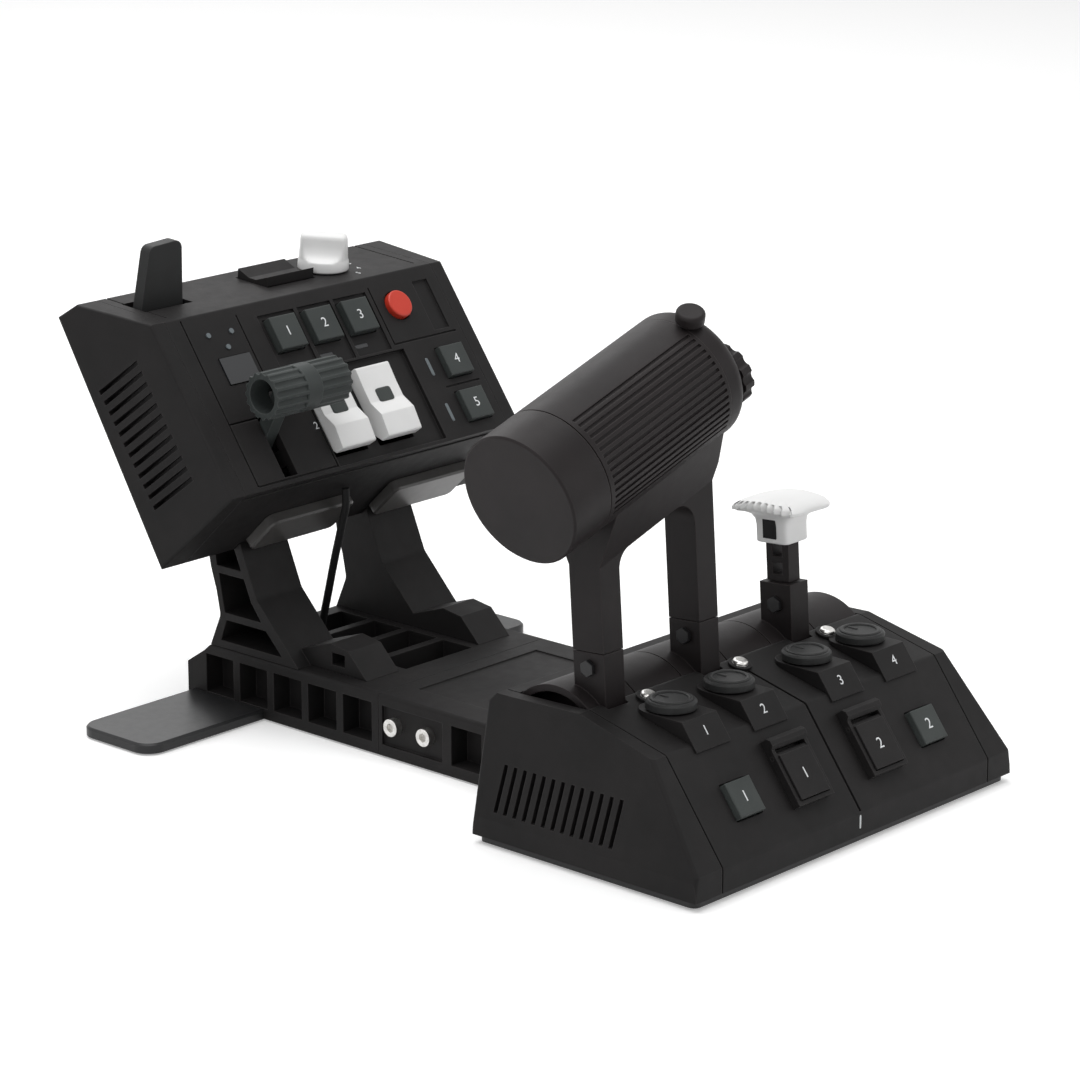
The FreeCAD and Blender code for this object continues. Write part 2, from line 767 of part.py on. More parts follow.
def grip_body():
    """The ribbed cylinder, the keel under it and the two legs, in one moulding."""
    body = new_body("grip_body")
    sweep(body, "YZ_Plane", "keel_start - 6", "grip_long",
          [("-keel_root", "-keel_flare"), ("-lever_deep / 2", "-grip_keel"),
           ("lever_deep / 2", "-grip_keel"), ("keel_root", "-keel_flare")])
    outer_left = "(-leg_left_x - lever_wide / 2)"
    outer_right = "(-leg_right_x + lever_wide / 2)"
    for x, sign in ((outer_left, "-"), (outer_right, "+")):
        trim = [grip_point(x, "socket_top - 10"), grip_point(x, "grip_start_z + 60"),
                grip_point(f"{x} {sign} 60", "grip_start_z + 60"),
                grip_point(f"{x} {sign} 60", "socket_top - 10")]
        sweep(body, "XZ_Plane", "-40", "40", trim, cut=True)
    for middle in ("-leg_left_x", "-leg_right_x"):
        left = f"{middle} - lever_wide / 2"
        right = f"{middle} + lever_wide / 2"
        leg = [grip_point(left, "socket_top + joint_gap"), grip_point(right, "socket_top + joint_gap"),
               keel_point(right), keel_point(left)]
        sweep(body, "XZ_Plane", "-lever_deep / 2", "lever_deep / 2", leg)
    round_edges(body, lambda middle, edge: along(edge, DEPTH) and -45 < middle.z < -30
                and in_window(middle), "arch_round")
    rod(body, "0", "0", "grip_radius", "grip_cap_long + grip_seam", "grip_long")
    rod(body, "0", "0", "grip_radius - 3.4", "grip_cap_long - 6", "grip_cap_long + grip_seam")
    rib_groove(body)
    return seat(body, GRIP)


def in_window(middle):
    """Whether a point of the yoke lies at the top corners between the two legs."""
    point = FreeCAD.Vector(middle.x, 0, middle.z)
    tilt = math.radians(value("grip_tilt"))
    lever_x = value("grip_start_x") + point.x * math.cos(tilt) - point.z * math.sin(tilt)
    left = value("-leg_left_x + lever_wide / 2")
    right = value("-leg_right_x - lever_wide / 2")
    return min(abs(lever_x - left), abs(lever_x - right)) < 0.2


def rim_point(radius, angle, offset):
    """A point at an angle from the top about the grip's axis, moved sideways by `offset`."""
    return (f"-({radius}) * sin({angle}) - ({offset}) * cos({angle})",
            f"({radius}) * cos({angle}) - ({offset}) * sin({angle})")


def rib_groove(body):
    """Fine grooves along both flanks of the cylinder; the top stays smooth."""
    floor = "grip_radius - rib_sink"
    reach = "grip_radius + 1"
    half = "rib_width / 2"
    for first in ("rib_first", "-rib_first - rib_step * (rib_count - 1)"):
        outline = [rim_point(floor, first, f"-{half}"), rim_point(reach, first, f"-{half}"),
                   rim_point(reach, first, half), rim_point(floor, first, half)]
        groove = sweep(body, "YZ_Plane", "rib_start", "rib_end", outline, cut=True)
        repeat_round(body, groove, "X_Axis", "rib_step", "rib_count")


def grip_cap():
    """The round, hollow end cap nearest the user's left."""
    body = new_body("grip_cap")
    rod(body, "0", "0", "grip_radius", "0", "grip_cap_long")
    round_edges(body, lambda middle, edge: middle.x < 1, "cap_bevel", "PartDesign::Chamfer")
    rod(body, "0", "0", "grip_radius - 3.2", "wall", "grip_cap_long", cut=True)
    return seat(body, GRIP)


def grip_collar():
    """The domed end of the grip, with a socket for the hat and a bearing hole for the dial."""
    body = new_body("grip_collar")
    rod(body, "0", "0", "collar_radius", "grip_long", "grip_long + collar_long")
    round_edges(body, lambda middle, edge: middle.x > value("grip_long + collar_long") - 0.1,
                "collar_round")
    rod(body, "-dial_front", "-dial_drop", "dial_shaft + running_fit",
        "grip_long + collar_long - dial_sink", "grip_long + collar_long", cut=True)
    disc(body, "hat_along", "0", "hat_stem + hat_gap", "collar_radius - hat_socket",
         "collar_radius + 1", cut=True, frame=place("0", "0", "0", X_TURN, "hat_turn"))
    return seat(body, GRIP)


def grip_hat():
    """A low thumb hat on a stem that rocks in the top of the grip."""
    body = new_body("grip_hat")
    disc(body, "0", "0", "hat_stem", "-hat_socket + 0.5", "hat_lift")
    disc(body, "0", "0", "hat_radius", "hat_lift", "hat_lift + hat_height")
    round_edges(body, lambda middle, edge: middle.z > value("hat_lift + hat_height") - 0.1,
                "hat_height / 3")
    lean = place("0", "0", "0", X_TURN, "hat_turn")
    return seat(body, GRIP + " * " + lean, "hat_along", "0", "collar_radius")


def grip_dial():
    """A scalloped dial on the end plate."""
    body = new_body("grip_dial")
    low = "dial_gap"
    high = "dial_gap + dial_long"
    rod(body, "0", "0", "dial_radius", low, high)
    scallop = sweep(body, "YZ_Plane", low, high, circles=[("0", "dial_radius + 1.6", "2.6")], cut=True)
    repeat_round(body, scallop, "X_Axis", "30", "12")
    rod(body, "0", "0", "dial_shaft", "-dial_sink + 0.5", low)
    return seat(body, GRIP, "grip_long + collar_long", "-dial_front", "-dial_drop")


def small_stem():
    """The flat stem of the single lever, with two windows."""
    body = new_body("small_stem")
    half = "stem_wide / 2"
    deep = "stem_deep / 2"
    box(body, f"small_x - {half}", f"small_x + {half}", f"-lever_set - {deep}", f"-lever_set + {deep}",
        "small_top + joint_gap", "stem_top")
    for low in ("small_top + 3", "small_top + 10"):
        window = box_points("-lever_set - stem_slot / 2", low, "-lever_set + stem_slot / 2", f"{low} + 4.6")
        sweep(body, "YZ_Plane", f"small_x - {half}", f"small_x + {half}", window, cut=True)
    return seat(body, LEVER)


def small_handle():
    """The flared handle: a neck that spreads into a wide saddle with a toothed lip."""
    body = new_body("small_handle")
    levels = [("stem_top + joint_gap", "handle_foot_wide", "handle_foot_deep"),
              ("handle_waist", "handle_foot_wide", "handle_foot_deep"),
              ("handle_flare", "handle_foot_wide + 7", "handle_foot_deep + 1"),
              ("handle_top - handle_lip", "handle_head_wide", "handle_head_deep")]
    sketches = []
    for level, wide, deep in levels:
        sketch = new_sketch(body, "XY_Plane", level)
        draw_outline(sketch, box_points(f"small_x - ({wide}) / 2", f"-lever_set - ({deep}) / 2",
                                        f"small_x + ({wide}) / 2", f"-lever_set + ({deep}) / 2"))
        sketches.append(sketch)
    DOC.recompute()
    loft = body.newObject("PartDesign::AdditiveLoft", "Flare")
    loft.Profile = sketches[0]
    loft.Sections = sketches[1:]
    loft.Ruled = True
    head = ("small_x - handle_head_wide / 2", "small_x + handle_head_wide / 2",
            "-lever_set - handle_head_deep / 2", "-lever_set + handle_head_deep / 2")
    box(body, *head, "handle_top - handle_lip", "handle_top")
    round_edges(body, lambda middle, edge: middle.z > value("handle_top") - 0.1, "handle_lip / 2")
    hollow = "small_x - handle_foot_wide / 2"
    seat_half = "(button_wide / 2 + key_gap)"
    outline = box_points(f"-lever_set - {seat_half}", "button_z - button_high / 2 - key_gap",
                         f"-lever_set + {seat_half}", "button_z + button_high / 2 + key_gap")
    sweep(body, "YZ_Plane", f"{hollow} - 1", f"{hollow} + 6", outline, cut=True)
    return seat(body, LEVER)


def handle_button():
    """The dark push button in the handle's left side."""
    body = new_body("handle_button")
    face = "small_x - handle_foot_wide / 2"
    outline = box_points("-lever_set - button_wide / 2", "button_z - button_high / 2",
                         "-lever_set + button_wide / 2", "button_z + button_high / 2")
    sweep(body, "YZ_Plane", f"{face} - button_proud", f"{face} + 4", outline)
    return seat(body, LEVER)


def small_clamp_screw():
    screw = hex_screw("small_clamp_screw", "small_x - lever_wide / 2", "-lever_set", "clamp_z",
                      "clamp_head", "clamp_height", "clamp_shank", "clamp_long", LEVER)
    return screw


# ---------------------------------------------------------------------------- base controls
def label_tiles():
    """Four wedge-shaped pods that carry the knobs and, on their front slope, a label."""
    pods = []
    for number, (x, y) in enumerate(KNOB_SEATS, start=1):
        pod = new_body(f"pod_{number}")
        toe_y = "(-base_deep / 2 + tile_foot * cos(front_tilt))"
        toe_z = "(toe_top + tile_foot * sin(front_tilt))"
        lift_y = "tile_proud * sin(front_tilt)"
        lift_z = "tile_proud * cos(front_tilt)"
        head_y = "(-base_deep / 2 + tile_head * cos(front_tilt))"
        head_z = "(toe_top + tile_head * sin(front_tilt))"
        outline = [(toe_y, toe_z), (f"{toe_y} - {lift_y}", f"{toe_z} + {lift_z}"),
                   (f"{head_y} - {lift_y}", f"{head_z} + {lift_z}"), ("pod_end", "pod_top"),
                   ("pod_end", f"{KNEE_Z} + (pod_end - {KNEE_Y}) * tan(deck_tilt)"), (KNEE_Y, KNEE_Z)]
        sweep(pod, "YZ_Plane", f"{x} - tile_wide / 2", f"{x} + tile_wide / 2", outline)
        round_edges(pod, lambda middle, edge: along(edge, UP) and middle.y > 0, "pod_round")
        disc(pod, x, y, "knob_shaft + knob_gap", "knob_seat_low", "pod_top + 5", cut=True)
        if number in (1, 4):
            screw_x = SCREW_SEATS[0] if number == 1 else SCREW_SEATS[2]
            disc(pod, screw_x, "screw_y", "ring_boss / 2 + joint_gap", "knob_seat_low", "pod_top + 5",
                 cut=True)
        pods.append(pod)
    return group("label_tiles", pods)


def rotary_knob(number):
    """A low disc knob on a short shaft."""
    body = new_body(f"rotary_knob_{number}")
    x, y = KNOB_SEATS[number - 1]
    disc(body, "0", "0", "knob_shaft", "-6", "knob_lift")
    disc(body, "0", "0", "knob_radius", "knob_lift", "knob_lift + knob_high")
    round_edges(body, lambda middle, edge: middle.z > value("knob_lift + knob_high") - 0.1,
                "knob_high / 4", "PartDesign::Chamfer")
    return seat(body, WORLD, x, y, "pod_seat")


def square_key(label, x, s, frame, wide, high, sink):
    """A square key with a flange under the panel that stops it from falling out."""
    body = new_body(label)
    half = f"({wide}) / 2"
    box(body, f"-{half}", half, f"-{half}", half, f"-({sink})", high)
    round_edges(body, lambda middle, edge: middle.z > value(high) - 0.1, "key_bevel")
    rim = f"{half} + key_flange"
    box(body, f"-({rim})", rim, f"-({rim})", rim, f"-({sink}) - 1.2", f"-({sink})")
    return seat(body, frame, x, s, "0")


def guard_frames():
    """Two frames round the guarded buttons, each with a hinge hood at its upper end."""
    frames = []
    for x in ("-guard_x", "guard_x"):
        frame = new_body("guard_frame")
        wide = "guard_wide / 2"
        low = "guard_s - guard_long / 2"
        box(frame, f"-{wide}", wide, low, "guard_s + guard_long / 2", "0", "guard_high")
        box(frame, f"-{wide} + guard_wall", f"{wide} - guard_wall", f"{low} + guard_wall",
            "guard_s + guard_long / 2 - guard_wall", "-1", "guard_high + 1", cut=True)
        rod(frame, "guard_hinge", "guard_high - guard_pin", "guard_pin / 2 + running_fit",
            f"-{wide}", wide, cut=True)
        box(frame, f"-{wide}", wide, "guard_s + guard_long / 2 - guard_wall",
            "guard_s + guard_long / 2 + hood_long", "0", "guard_high + hood_rise")
        round_edges(frame, lambda middle, edge: along(edge, SIDE) and middle.z > value("guard_high"),
                    "hood_rise", "PartDesign::Chamfer")
        frames.append(seat(frame, FRONT, x))
    return group("guard_frames", frames)


def guard_cover(number, x):
    """The flip cover: a lid with a hinge barrel and two stub pins."""
    body = new_body(f"guard_cover_{number}")
    half = "(guard_wide / 2 - guard_wall - joint_gap)"
    low = "guard_s - guard_long / 2 + guard_wall + joint_gap"
    box(body, f"-{half}", half, low, "guard_hinge", "guard_high - 0.6", "guard_high - 0.6 + guard_lid")
    rod(body, "guard_hinge", "guard_high - guard_pin", "guard_pin", f"-{half}", half)
    rod(body, "guard_hinge", "guard_high - guard_pin", "guard_pin / 2", "-guard_wide / 2",
        "guard_wide / 2")
    return seat(body, FRONT, x)


def guard_button(number, x):
    """The push button under a flip cover."""
    body = new_body(f"guard_button_{number}")
    half = "(guard_hole / 2 - key_gap)"
    box(body, f"-{half}", half, f"guard_s - {half}", f"guard_s + {half}", "-wall - 2", "1.2")
    rim = f"({half} + key_flange)"
    box(body, f"-{rim}", rim, f"guard_s - {rim}", f"guard_s + {rim}", "-wall - 3.2", "-wall - 2")
    return seat(body, FRONT, x)


def base_board():
    """The circuit board under the control face, with a switch block under every key."""
    body = new_body("base_board")
    box(body, "-board_half", "board_half", "6", "34", "-board_depth - 1.6", "-board_depth")
    for x, s in (("-key_x", "key_s"), ("-guard_x", "guard_s"), ("guard_x", "guard_s"),
                 ("key_x", "key_s")):
        box(body, f"{x} - 3", f"{x} + 3", f"{s} - 3", f"{s} + 3", "-board_depth", "-switch_depth")
    for x in ("-board_half + board_post", "-board_post_x", "board_post_x", "board_half - board_post"):
        disc(body, x, "key_s", "board_post", "-board_depth", "-wall")
    return seat(body, FRONT)


def drum_screws():
    """Three domed screws, each in a ring boss on the deck."""
    screws = []
    for x in SCREW_SEATS:
        screw = new_body("dome_screw")
        sweep(screw, "XY_Plane", "0", "ring_high", circles=[("0", "0", "ring_boss / 2")])
        disc(screw, "0", "0", "dome_dia / 2", "ring_high", "ring_high + dome_high")
        round_edges(screw, lambda middle, edge: middle.z > value("ring_high + dome_high") - 0.1,
                    "dome_high * 0.8")
        disc(screw, "0", "0", "dome_dia / 4", "-wall", "0")
        screws.append(seat(screw, DECK, x, SCREW_S, "0"))
    return group("drum_screws", screws)


# ---------------------------------------------------------------------------- rail and arms
def rail_pockets(body, first, count):
    """Rows of open pockets between ribs, along both sides of the rail."""
    for side in (-1, 1):
        x0 = f"{side} * rail_wide / 2"
        x1 = f"{side} * (rail_wide / 2 - pocket_sink)"
        low, high = (x1, x0) if side > 0 else (x0, x1)
        pocket = box(body, low, high, first, f"{first} + pocket_pitch - pocket_rib", "pocket_low",
                     "pocket_high", cut=True)
        repeat_line(body, pocket, "Y_Axis", "pocket_pitch", count)


def rail_front():
    """The front length of the rail, from the lever base to the seam."""
    body = new_body("rail_front")
    half = "rail_wide / 2"
    box(body, f"-{half}", half, "base_deep / 2", "rail_seam - joint_gap / 2", "0", "rail_high")
    round_edges(body, lambda middle, edge: along(edge, DEPTH) and middle.z > 20, "rail_round")
    rail_pockets(body, "rail_seam - 4 * pocket_pitch + pocket_rib", "2")
    box(body, "-top_panel_half", "top_panel_half", "base_deep / 2 + 12", "rail_seam - 8",
        "rail_high - 0.6", "rail_high", cut=True)
    for side in (-1, 1):
        x0 = f"{side} * rail_wide / 2"
        x1 = f"{side} * (rail_wide / 2 - bolt_panel_sink)"
        low, high = (x1, x0) if side > 0 else (x0, x1)
        box(body, low, high, "bolt_mid - bolt_pitch", "bolt_mid + bolt_pitch * 0.85", "pocket_low",
            "pocket_high", cut=True)
    return body


def rail_rear():
    """The rear length of the rail, stepped down at its end and notched for the foot plate."""
    body = new_body("rail_rear")
    half = "rail_wide / 2"
    outline = [("rail_seam + joint_gap / 2", "0"), ("rail_end", "0"), ("rail_end", "rail_end_high"),
               ("rail_end - 10", "rail_high - 3.4"), ("rail_end - 14", "rail_high"),
               ("rail_seam + joint_gap / 2", "rail_high")]
    sweep(body, "YZ_Plane", f"-{half}", half, outline)
    round_edges(body, lambda middle, edge: along(edge, DEPTH) and middle.z > 20, "rail_round")
    box(body, f"-{half}", half, "foot_plate_front", "foot_plate_front + foot_plate_deep", "0",
        "foot_plate_thick", cut=True)
    rail_pockets(body, "rail_seam + pocket_rib", "5")
    tray = box(body, "-tray_half", "tray_half", "tray_front", "tray_front + tray_pitch - pocket_rib",
               "rail_high - tray_deep", "rail_high", cut=True)
    repeat_line(body, tray, "Y_Axis", "tray_pitch", "tray_count")
    return body


def rail_screws():
    """Four cap screws on the rail's sides, beside the seam."""
    screws = []
    for side in (-1, 1):
        for step in (-0.5, 0.5):
            screw = new_body("cap_screw")
            disc(screw, "0", "0", "bolt_head / 2", "0", "bolt_head_high")
            points = [(f"bolt_socket * cos({60 * i})", f"bolt_socket * sin({60 * i})")
                      for i in range(6)]
            sweep(screw, "XY_Plane", "bolt_head_high * 0.4", "bolt_head_high", points, cut=True)
            screws.append(seat(screw, WORLD, f"{side} * (rail_wide / 2 - bolt_panel_sink)",
                               f"bolt_mid + {step} * bolt_pitch", "bolt_z", Y_TURN, f"{90 * side}"))
    return group("rail_screws", screws)


def foot_plate():
    """The wide flat plate across the rear of the rail."""
    body = new_body("foot_plate")
    half = "foot_plate_wide / 2"
    box(body, f"-{half}", half, "foot_plate_front", "foot_plate_front + foot_plate_deep", "0",
        "foot_plate_thick")
    round_edges(body, lambda middle, edge: along(edge, UP), "foot_plate_round")
    round_edges(body, lambda middle, edge: middle.z > value("foot_plate_thick") - 0.1, "0.8",
                "PartDesign::Chamfer")
    return body


def support_arm(label, side):
    """A moulded arm: a raked strut with open, ribbed sides and a stepped block ahead of its foot."""
    body = new_body(label)

    def span(near, far):
        return (near, far) if side > 0 else (f"-({far})", f"-({near})")

    outline = [("arm_front", "rail_high"), ("arm_front + 23", "rail_high + 24"),
               ("arm_front + 32", "rail_high + 45.4"), ("arm_corner_y", "arm_corner_z"),
               ("arm_top_y", "arm_top_z"), ("arm_top_y + 3", "arm_top_z - 7.6"),
               ("arm_top_y - 2", "rail_high + 33"), ("arm_top_y - 5", "rail_high + 23.5"),
               ("arm_top_y - 7", "rail_high + 13.5"), ("arm_top_y - 1", "rail_high")]
    sweep(body, "YZ_Plane", *span("arm_inner", "rail_wide / 2"), outline)
    round_edges(body, lambda middle, edge: along(edge, SIDE) and 30 < middle.z < 62, "arm_round")
    bays = [
        [("arm_front + 9", "rail_high + 3"), ("arm_front + 18", "rail_high + 12"),
         ("arm_top_y - 10.5", "rail_high + 12"), ("arm_top_y - 7", "rail_high + 3")],
        [("arm_front + 20.5", "rail_high + 15"), ("arm_front + 26", "rail_high + 22"),
         ("arm_front + 30", "rail_high + 31"), ("arm_top_y - 6.5", "rail_high + 31"),
         ("arm_top_y - 9.5", "rail_high + 15")],
        [("arm_front + 31.4", "rail_high + 34"), ("arm_front + 35", "rail_high + 42"),
         ("arm_top_y - 5.5", "rail_high + 52"), ("arm_top_y - 3.5", "rail_high + 46"),
         ("arm_top_y - 5.5", "rail_high + 34")],
    ]
    for bay in bays:
        sweep(body, "YZ_Plane", *span("arm_inner + arm_web", "rail_wide / 2"), bay, cut=True)
    block = [("block_front", "rail_high"), ("block_front + block_high", "rail_high + block_high"),
             ("block_front + 2 * block_high", "rail_high + block_high + 1.5"),
             ("arm_front + 8", "rail_high + 5"), ("arm_front + 8", "rail_high")]
    sweep(body, "YZ_Plane", *span("arm_inner", "arm_inner + block_wide"), block)
    slots = [("block_front + 12", "rail_high + 3"), ("block_front + 12", "rail_high + 8"),
             ("block_front + 19", "rail_high + 8"), ("block_front + 19", "rail_high + 3")]
    sweep(body, "YZ_Plane", *span("arm_inner + arm_skin", "arm_inner + block_wide"), slots, cut=True)
    return body


def arm_clamps():
    """Two thick bracket pads that bolt the arms to the underside of the panel."""
    pads = []
    for low in ("-bracket_left", "bracket_right"):
        pad = new_body("clamp_pad")
        box(pad, low, f"{low} + bracket_wide", "clamp_from", "clamp_from + bracket_long",
            "-bracket_thick", "-pad_gap")
        round_edges(pad, lambda middle, edge: along(edge, UP), "bracket_round")
        round_edges(pad, lambda middle, edge: middle.z < value("-bracket_thick") + 0.1, "0.8",
                    "PartDesign::Chamfer")
        pads.append(seat(pad, UNDERSIDE))
    return group("arm_clamps", pads)


UNDERSIDE = PANEL + " * " + place("0", "0", "0", X_TURN, "-under_turn")


# ---------------------------------------------------------------------------- cable
CABLE_POINTS = [(-10.0, 199.5, 89.4), (-10.0, 199.0, 83.0), (-9.0, 203.5, 71.0), (-7.5, 209.0, 57.0),
                (-6.5, 213.5, 43.0), (-6.0, 217.5, 30.0), (-6.0, 220.8, 16.2)]


def panel_cable():
    """The cable from the panel's underside down into the rail: straight runs and tangent arcs."""
    points = [FreeCAD.Vector(*point) for point in CABLE_POINTS]
    edges = []
    start = points[0]
    for before, corner, after in zip(points, points[1:], points[2:]):
        come = corner.sub(before)
        leave = after.sub(corner)
        turn = come.getAngle(leave)
        setback = 0.45 * min(come.Length, leave.Length)
        radius = setback / math.tan(turn / 2)
        come.normalize()
        leave.normalize()
        arc_start = corner.sub(come * setback)
        arc_end = corner.add(leave * setback)
        inward = leave.sub(come).normalize()
        centre_out = radius / math.cos(turn / 2)
        middle = corner.add(inward * (centre_out - radius))
        edges.append(Part.LineSegment(start, arc_start).toShape())
        edges.append(Part.Arc(arc_start, middle, arc_end).toShape())
        start = arc_end
    edges.append(Part.LineSegment(start, points[-1]).toShape())
    path = Part.Wire(edges)
    heading = points[1].sub(points[0])
    ring = Part.makeCircle(value("cable_dia / 2"), points[0], heading)
    tube = path.makePipeShell([Part.Wire([ring])], True, True)
    ideal = math.pi * value("cable_dia / 2") ** 2 * path.Length
    assert abs(tube.Volume / ideal - 1) < 0.02, "the cable's tube is not true to its route"
    part = DOC.addObject("Part::Feature", "panel_cable")
    part.Label = "panel_cable"
    part.Shape = tube
    part.Placement = FreeCAD.Placement()
    PARTS.append(part)
    return part


# ---------------------------------------------------------------------------- switch panel
FACE_HALF = "(panel_wide / 2 - end_thick)"


def panel_fascia():
    """The control face and the roof of the panel, one bent moulding with wells for the controls."""
    body = new_body("panel_fascia")
    bend = "((roof_turn) / 2)"
    back_s = "(panel_long + roof_run * cos(roof_turn))"
    back_h = "(-roof_run * sin(roof_turn))"
    outline = [("0", "0"), ("panel_long", "0"), (back_s, back_h),
               (f"{back_s} - panel_skin * sin(roof_turn)", f"{back_h} - panel_skin * cos(roof_turn)"),
               (f"panel_long - panel_skin * tan{bend}", "-panel_skin"), ("0", "-panel_skin")]
    sweep(body, "YZ_Plane", f"-{FACE_HALF}", FACE_HALF, outline)
    round_edges(body, lambda middle, edge: along(edge, SIDE) and abs(middle.z) < 0.1
                and middle.y > 10, "panel_round")
    for x, s, wide in PANEL_KEYS:
        half = f"(({wide}) / 2 + key_gap)"
        box(body, f"{x} - {half}", f"{x} + {half}", f"{s} - {half}", f"{s} + {half}",
            "-panel_skin", "1", cut=True)
    box(body, "well_left", "well_right", "well_low", "well_high", "-well_deep", "1", cut=True)
    for x in ROCKER_SEATS:
        box(body, f"{x} - rocker_wide / 2 - key_gap", f"{x} + rocker_wide / 2 + key_gap",
            "rocker_s - rocker_long / 2 - 1", "rocker_s + rocker_long / 2 + 1", "-panel_skin", "1",
            cut=True)
        cheeks(body, x, "rocker_wide / 2 + key_gap", "rocker_s", "rocker_axis")
    face_relief(body)
    disc(body, "red_x", "red_s", "red_radius + key_gap", "-panel_skin", "1", cut=True)
    box(body, "flap_x - flap_arm_wide / 2 - key_gap", "flap_x + flap_arm_wide / 2 + key_gap",
        "flap_slot_low", "flap_slot_high", "-panel_skin", "1", cut=True)
    cheeks(body, "flap_x", "flap_arm_wide / 2 + key_gap", "flap_pivot_s", "-flap_pivot_deep",
           pierced=False)
    rod(body, "flap_pivot_s", "-flap_pivot_deep", "pin_radius", "flap_x - flap_arm_wide / 2 - 1",
        "flap_x + flap_arm_wide / 2 + 1")
    roof_wells(body)
    return seat(body, PANEL)


CHANNEL_S = ("key_row_s - channel_below", "key_row_s + channel_above")
FACE_RECESSES = [("row_key_left - channel_wide", "row_key_left + 9.8", *CHANNEL_S),
                 ("row_key_middle - channel_near", "row_key_middle + channel_wide", *CHANNEL_S),
                 ("row_key_right - channel_near - 0.1", "row_key_right + channel_wide + 0.1",
                  *CHANNEL_S),
                 ("59.6", "68.4", "47", "69.5"), ("-56.9", "-40.1", "44.2", "56.1")]
FACE_GROOVES = [("-66.6", "-65.8", "2", "74.5"), ("-65.8", "-22", "28.6", "29.4"),
                ("-38.4", "-37.6", "29.4", "72"), ("34.6", "35.4", "44.6", "71"),
                ("35.4", "71", "44.6", "45.4"), ("51", "71", "21.8", "22.6"),
                ("-65.8", "-23.4", "1.6", "2.4"), ("-23.4", "-22.6", "1.6", "28.6")]


def face_relief(body):
    """Shallow channels round the keys, and the joint lines between the face's inset plates."""
    for x0, x1, y0, y1 in FACE_RECESSES:
        box(body, x0, x1, y0, y1, "-recess_deep", "1", cut=True)
    for x0, x1, y0, y1 in FACE_GROOVES:
        box(body, x0, x1, y0, y1, "-groove_deep * 0.8", "1", cut=True)
    for x in ("-roof_seam", "roof_seam"):
        box(body, f"{x} - 0.4", f"{x} + 0.4", "4", "roof_run", "-groove_deep * 0.8", "1", cut=True,
            frame=ROOF_IN_PANEL)


def cheeks(body, x, half, y, z, frame=WORLD, pierced=True):
    """Two lugs under the skin that hold a pivot pin at (y, z)."""
    for sign in ("-", "+"):
        near = f"{x} {sign} ({half})"
        far = f"{x} {sign} ({half} + cheek_thick)"
        low, high = (far, near) if sign == "-" else (near, far)
        lug = box_points(f"{y} - cheek_half", f"{z} - cheek_half", f"{y} + cheek_half",
                         "-panel_skin + 0.5")
        sweep(body, "YZ_Plane", low, high, lug, frame=frame)
        if pierced:
            sweep(body, "YZ_Plane", low, high, circles=[(y, z, "pin_radius + running_fit")],
                  cut=True, frame=frame)


PANEL_KEYS = [("row_key_left", "key_row_s", "panel_key_size"),
              ("row_key_middle", "key_row_s", "panel_key_size"),
              ("row_key_right", "key_row_s", "panel_key_size"),
              ("side_key_x", "side_key_high", "side_key_size"),
              ("side_key_x - side_key_shift", "side_key_low", "side_key_size")]
ROCKER_SEATS = ["rocker_left_x", "rocker_right_x"]
ROOF_IN_PANEL = place("0", "panel_long", "0", X_TURN, "-roof_turn")
ROOF_SIDE = place("panel_long", "0", "0", "0; 0; 1", "-roof_turn")


def roof_wells(body):
    """The openings in the roof, with pivot lugs under them."""
    box(body, "gear_x - gear_wide / 2 - 1", "gear_x + gear_wide / 2 + 1", "gear_t - gear_travel",
        "gear_t + gear_travel", "-panel_skin - 1", "1", cut=True, frame=ROOF_IN_PANEL)
    cheeks(body, "gear_x", "gear_wide / 2 + key_gap", "gear_t", "-gear_deep", ROOF_SIDE)
    box(body, "roof_rocker_x - roof_rocker_wide / 2 - key_gap",
        "roof_rocker_x + roof_rocker_wide / 2 + key_gap", "roof_rocker_t - roof_rocker_long / 2 - 1",
        "roof_rocker_t + roof_rocker_long / 2 + 1", "-panel_skin - 1", "1", cut=True,
        frame=ROOF_IN_PANEL)
    cheeks(body, "roof_rocker_x", "roof_rocker_wide / 2 + key_gap", "roof_rocker_t",
           "-roof_rocker_deep", ROOF_SIDE)
    disc(body, "mode_x", "mode_t", "knob_shaft + running_fit", "-panel_skin - 1", "1", cut=True,
         frame=ROOF_IN_PANEL)


def panel_rear_shell():
    """The underside, the back and the rear lip of the panel."""
    body = new_body("panel_rear_shell")
    start = "-panel_skin - panel_gap"
    outline = [("-0.6", start), ("under_s", "-under_h"), ("back_s", "-back_h"),
               ("back_s - 0.4", "-back_h + 8.4"), ("back_s - shell_skin - 0.8", "-back_h + 6.0"),
               ("back_s - shell_skin - 0.4", "-back_h + shell_skin"),
               ("under_s + shell_skin + 0.8", "-under_h + shell_skin"), ("shell_skin", start)]
    sweep(body, "YZ_Plane", f"-{FACE_HALF}", FACE_HALF, outline)
    return seat(body, PANEL)


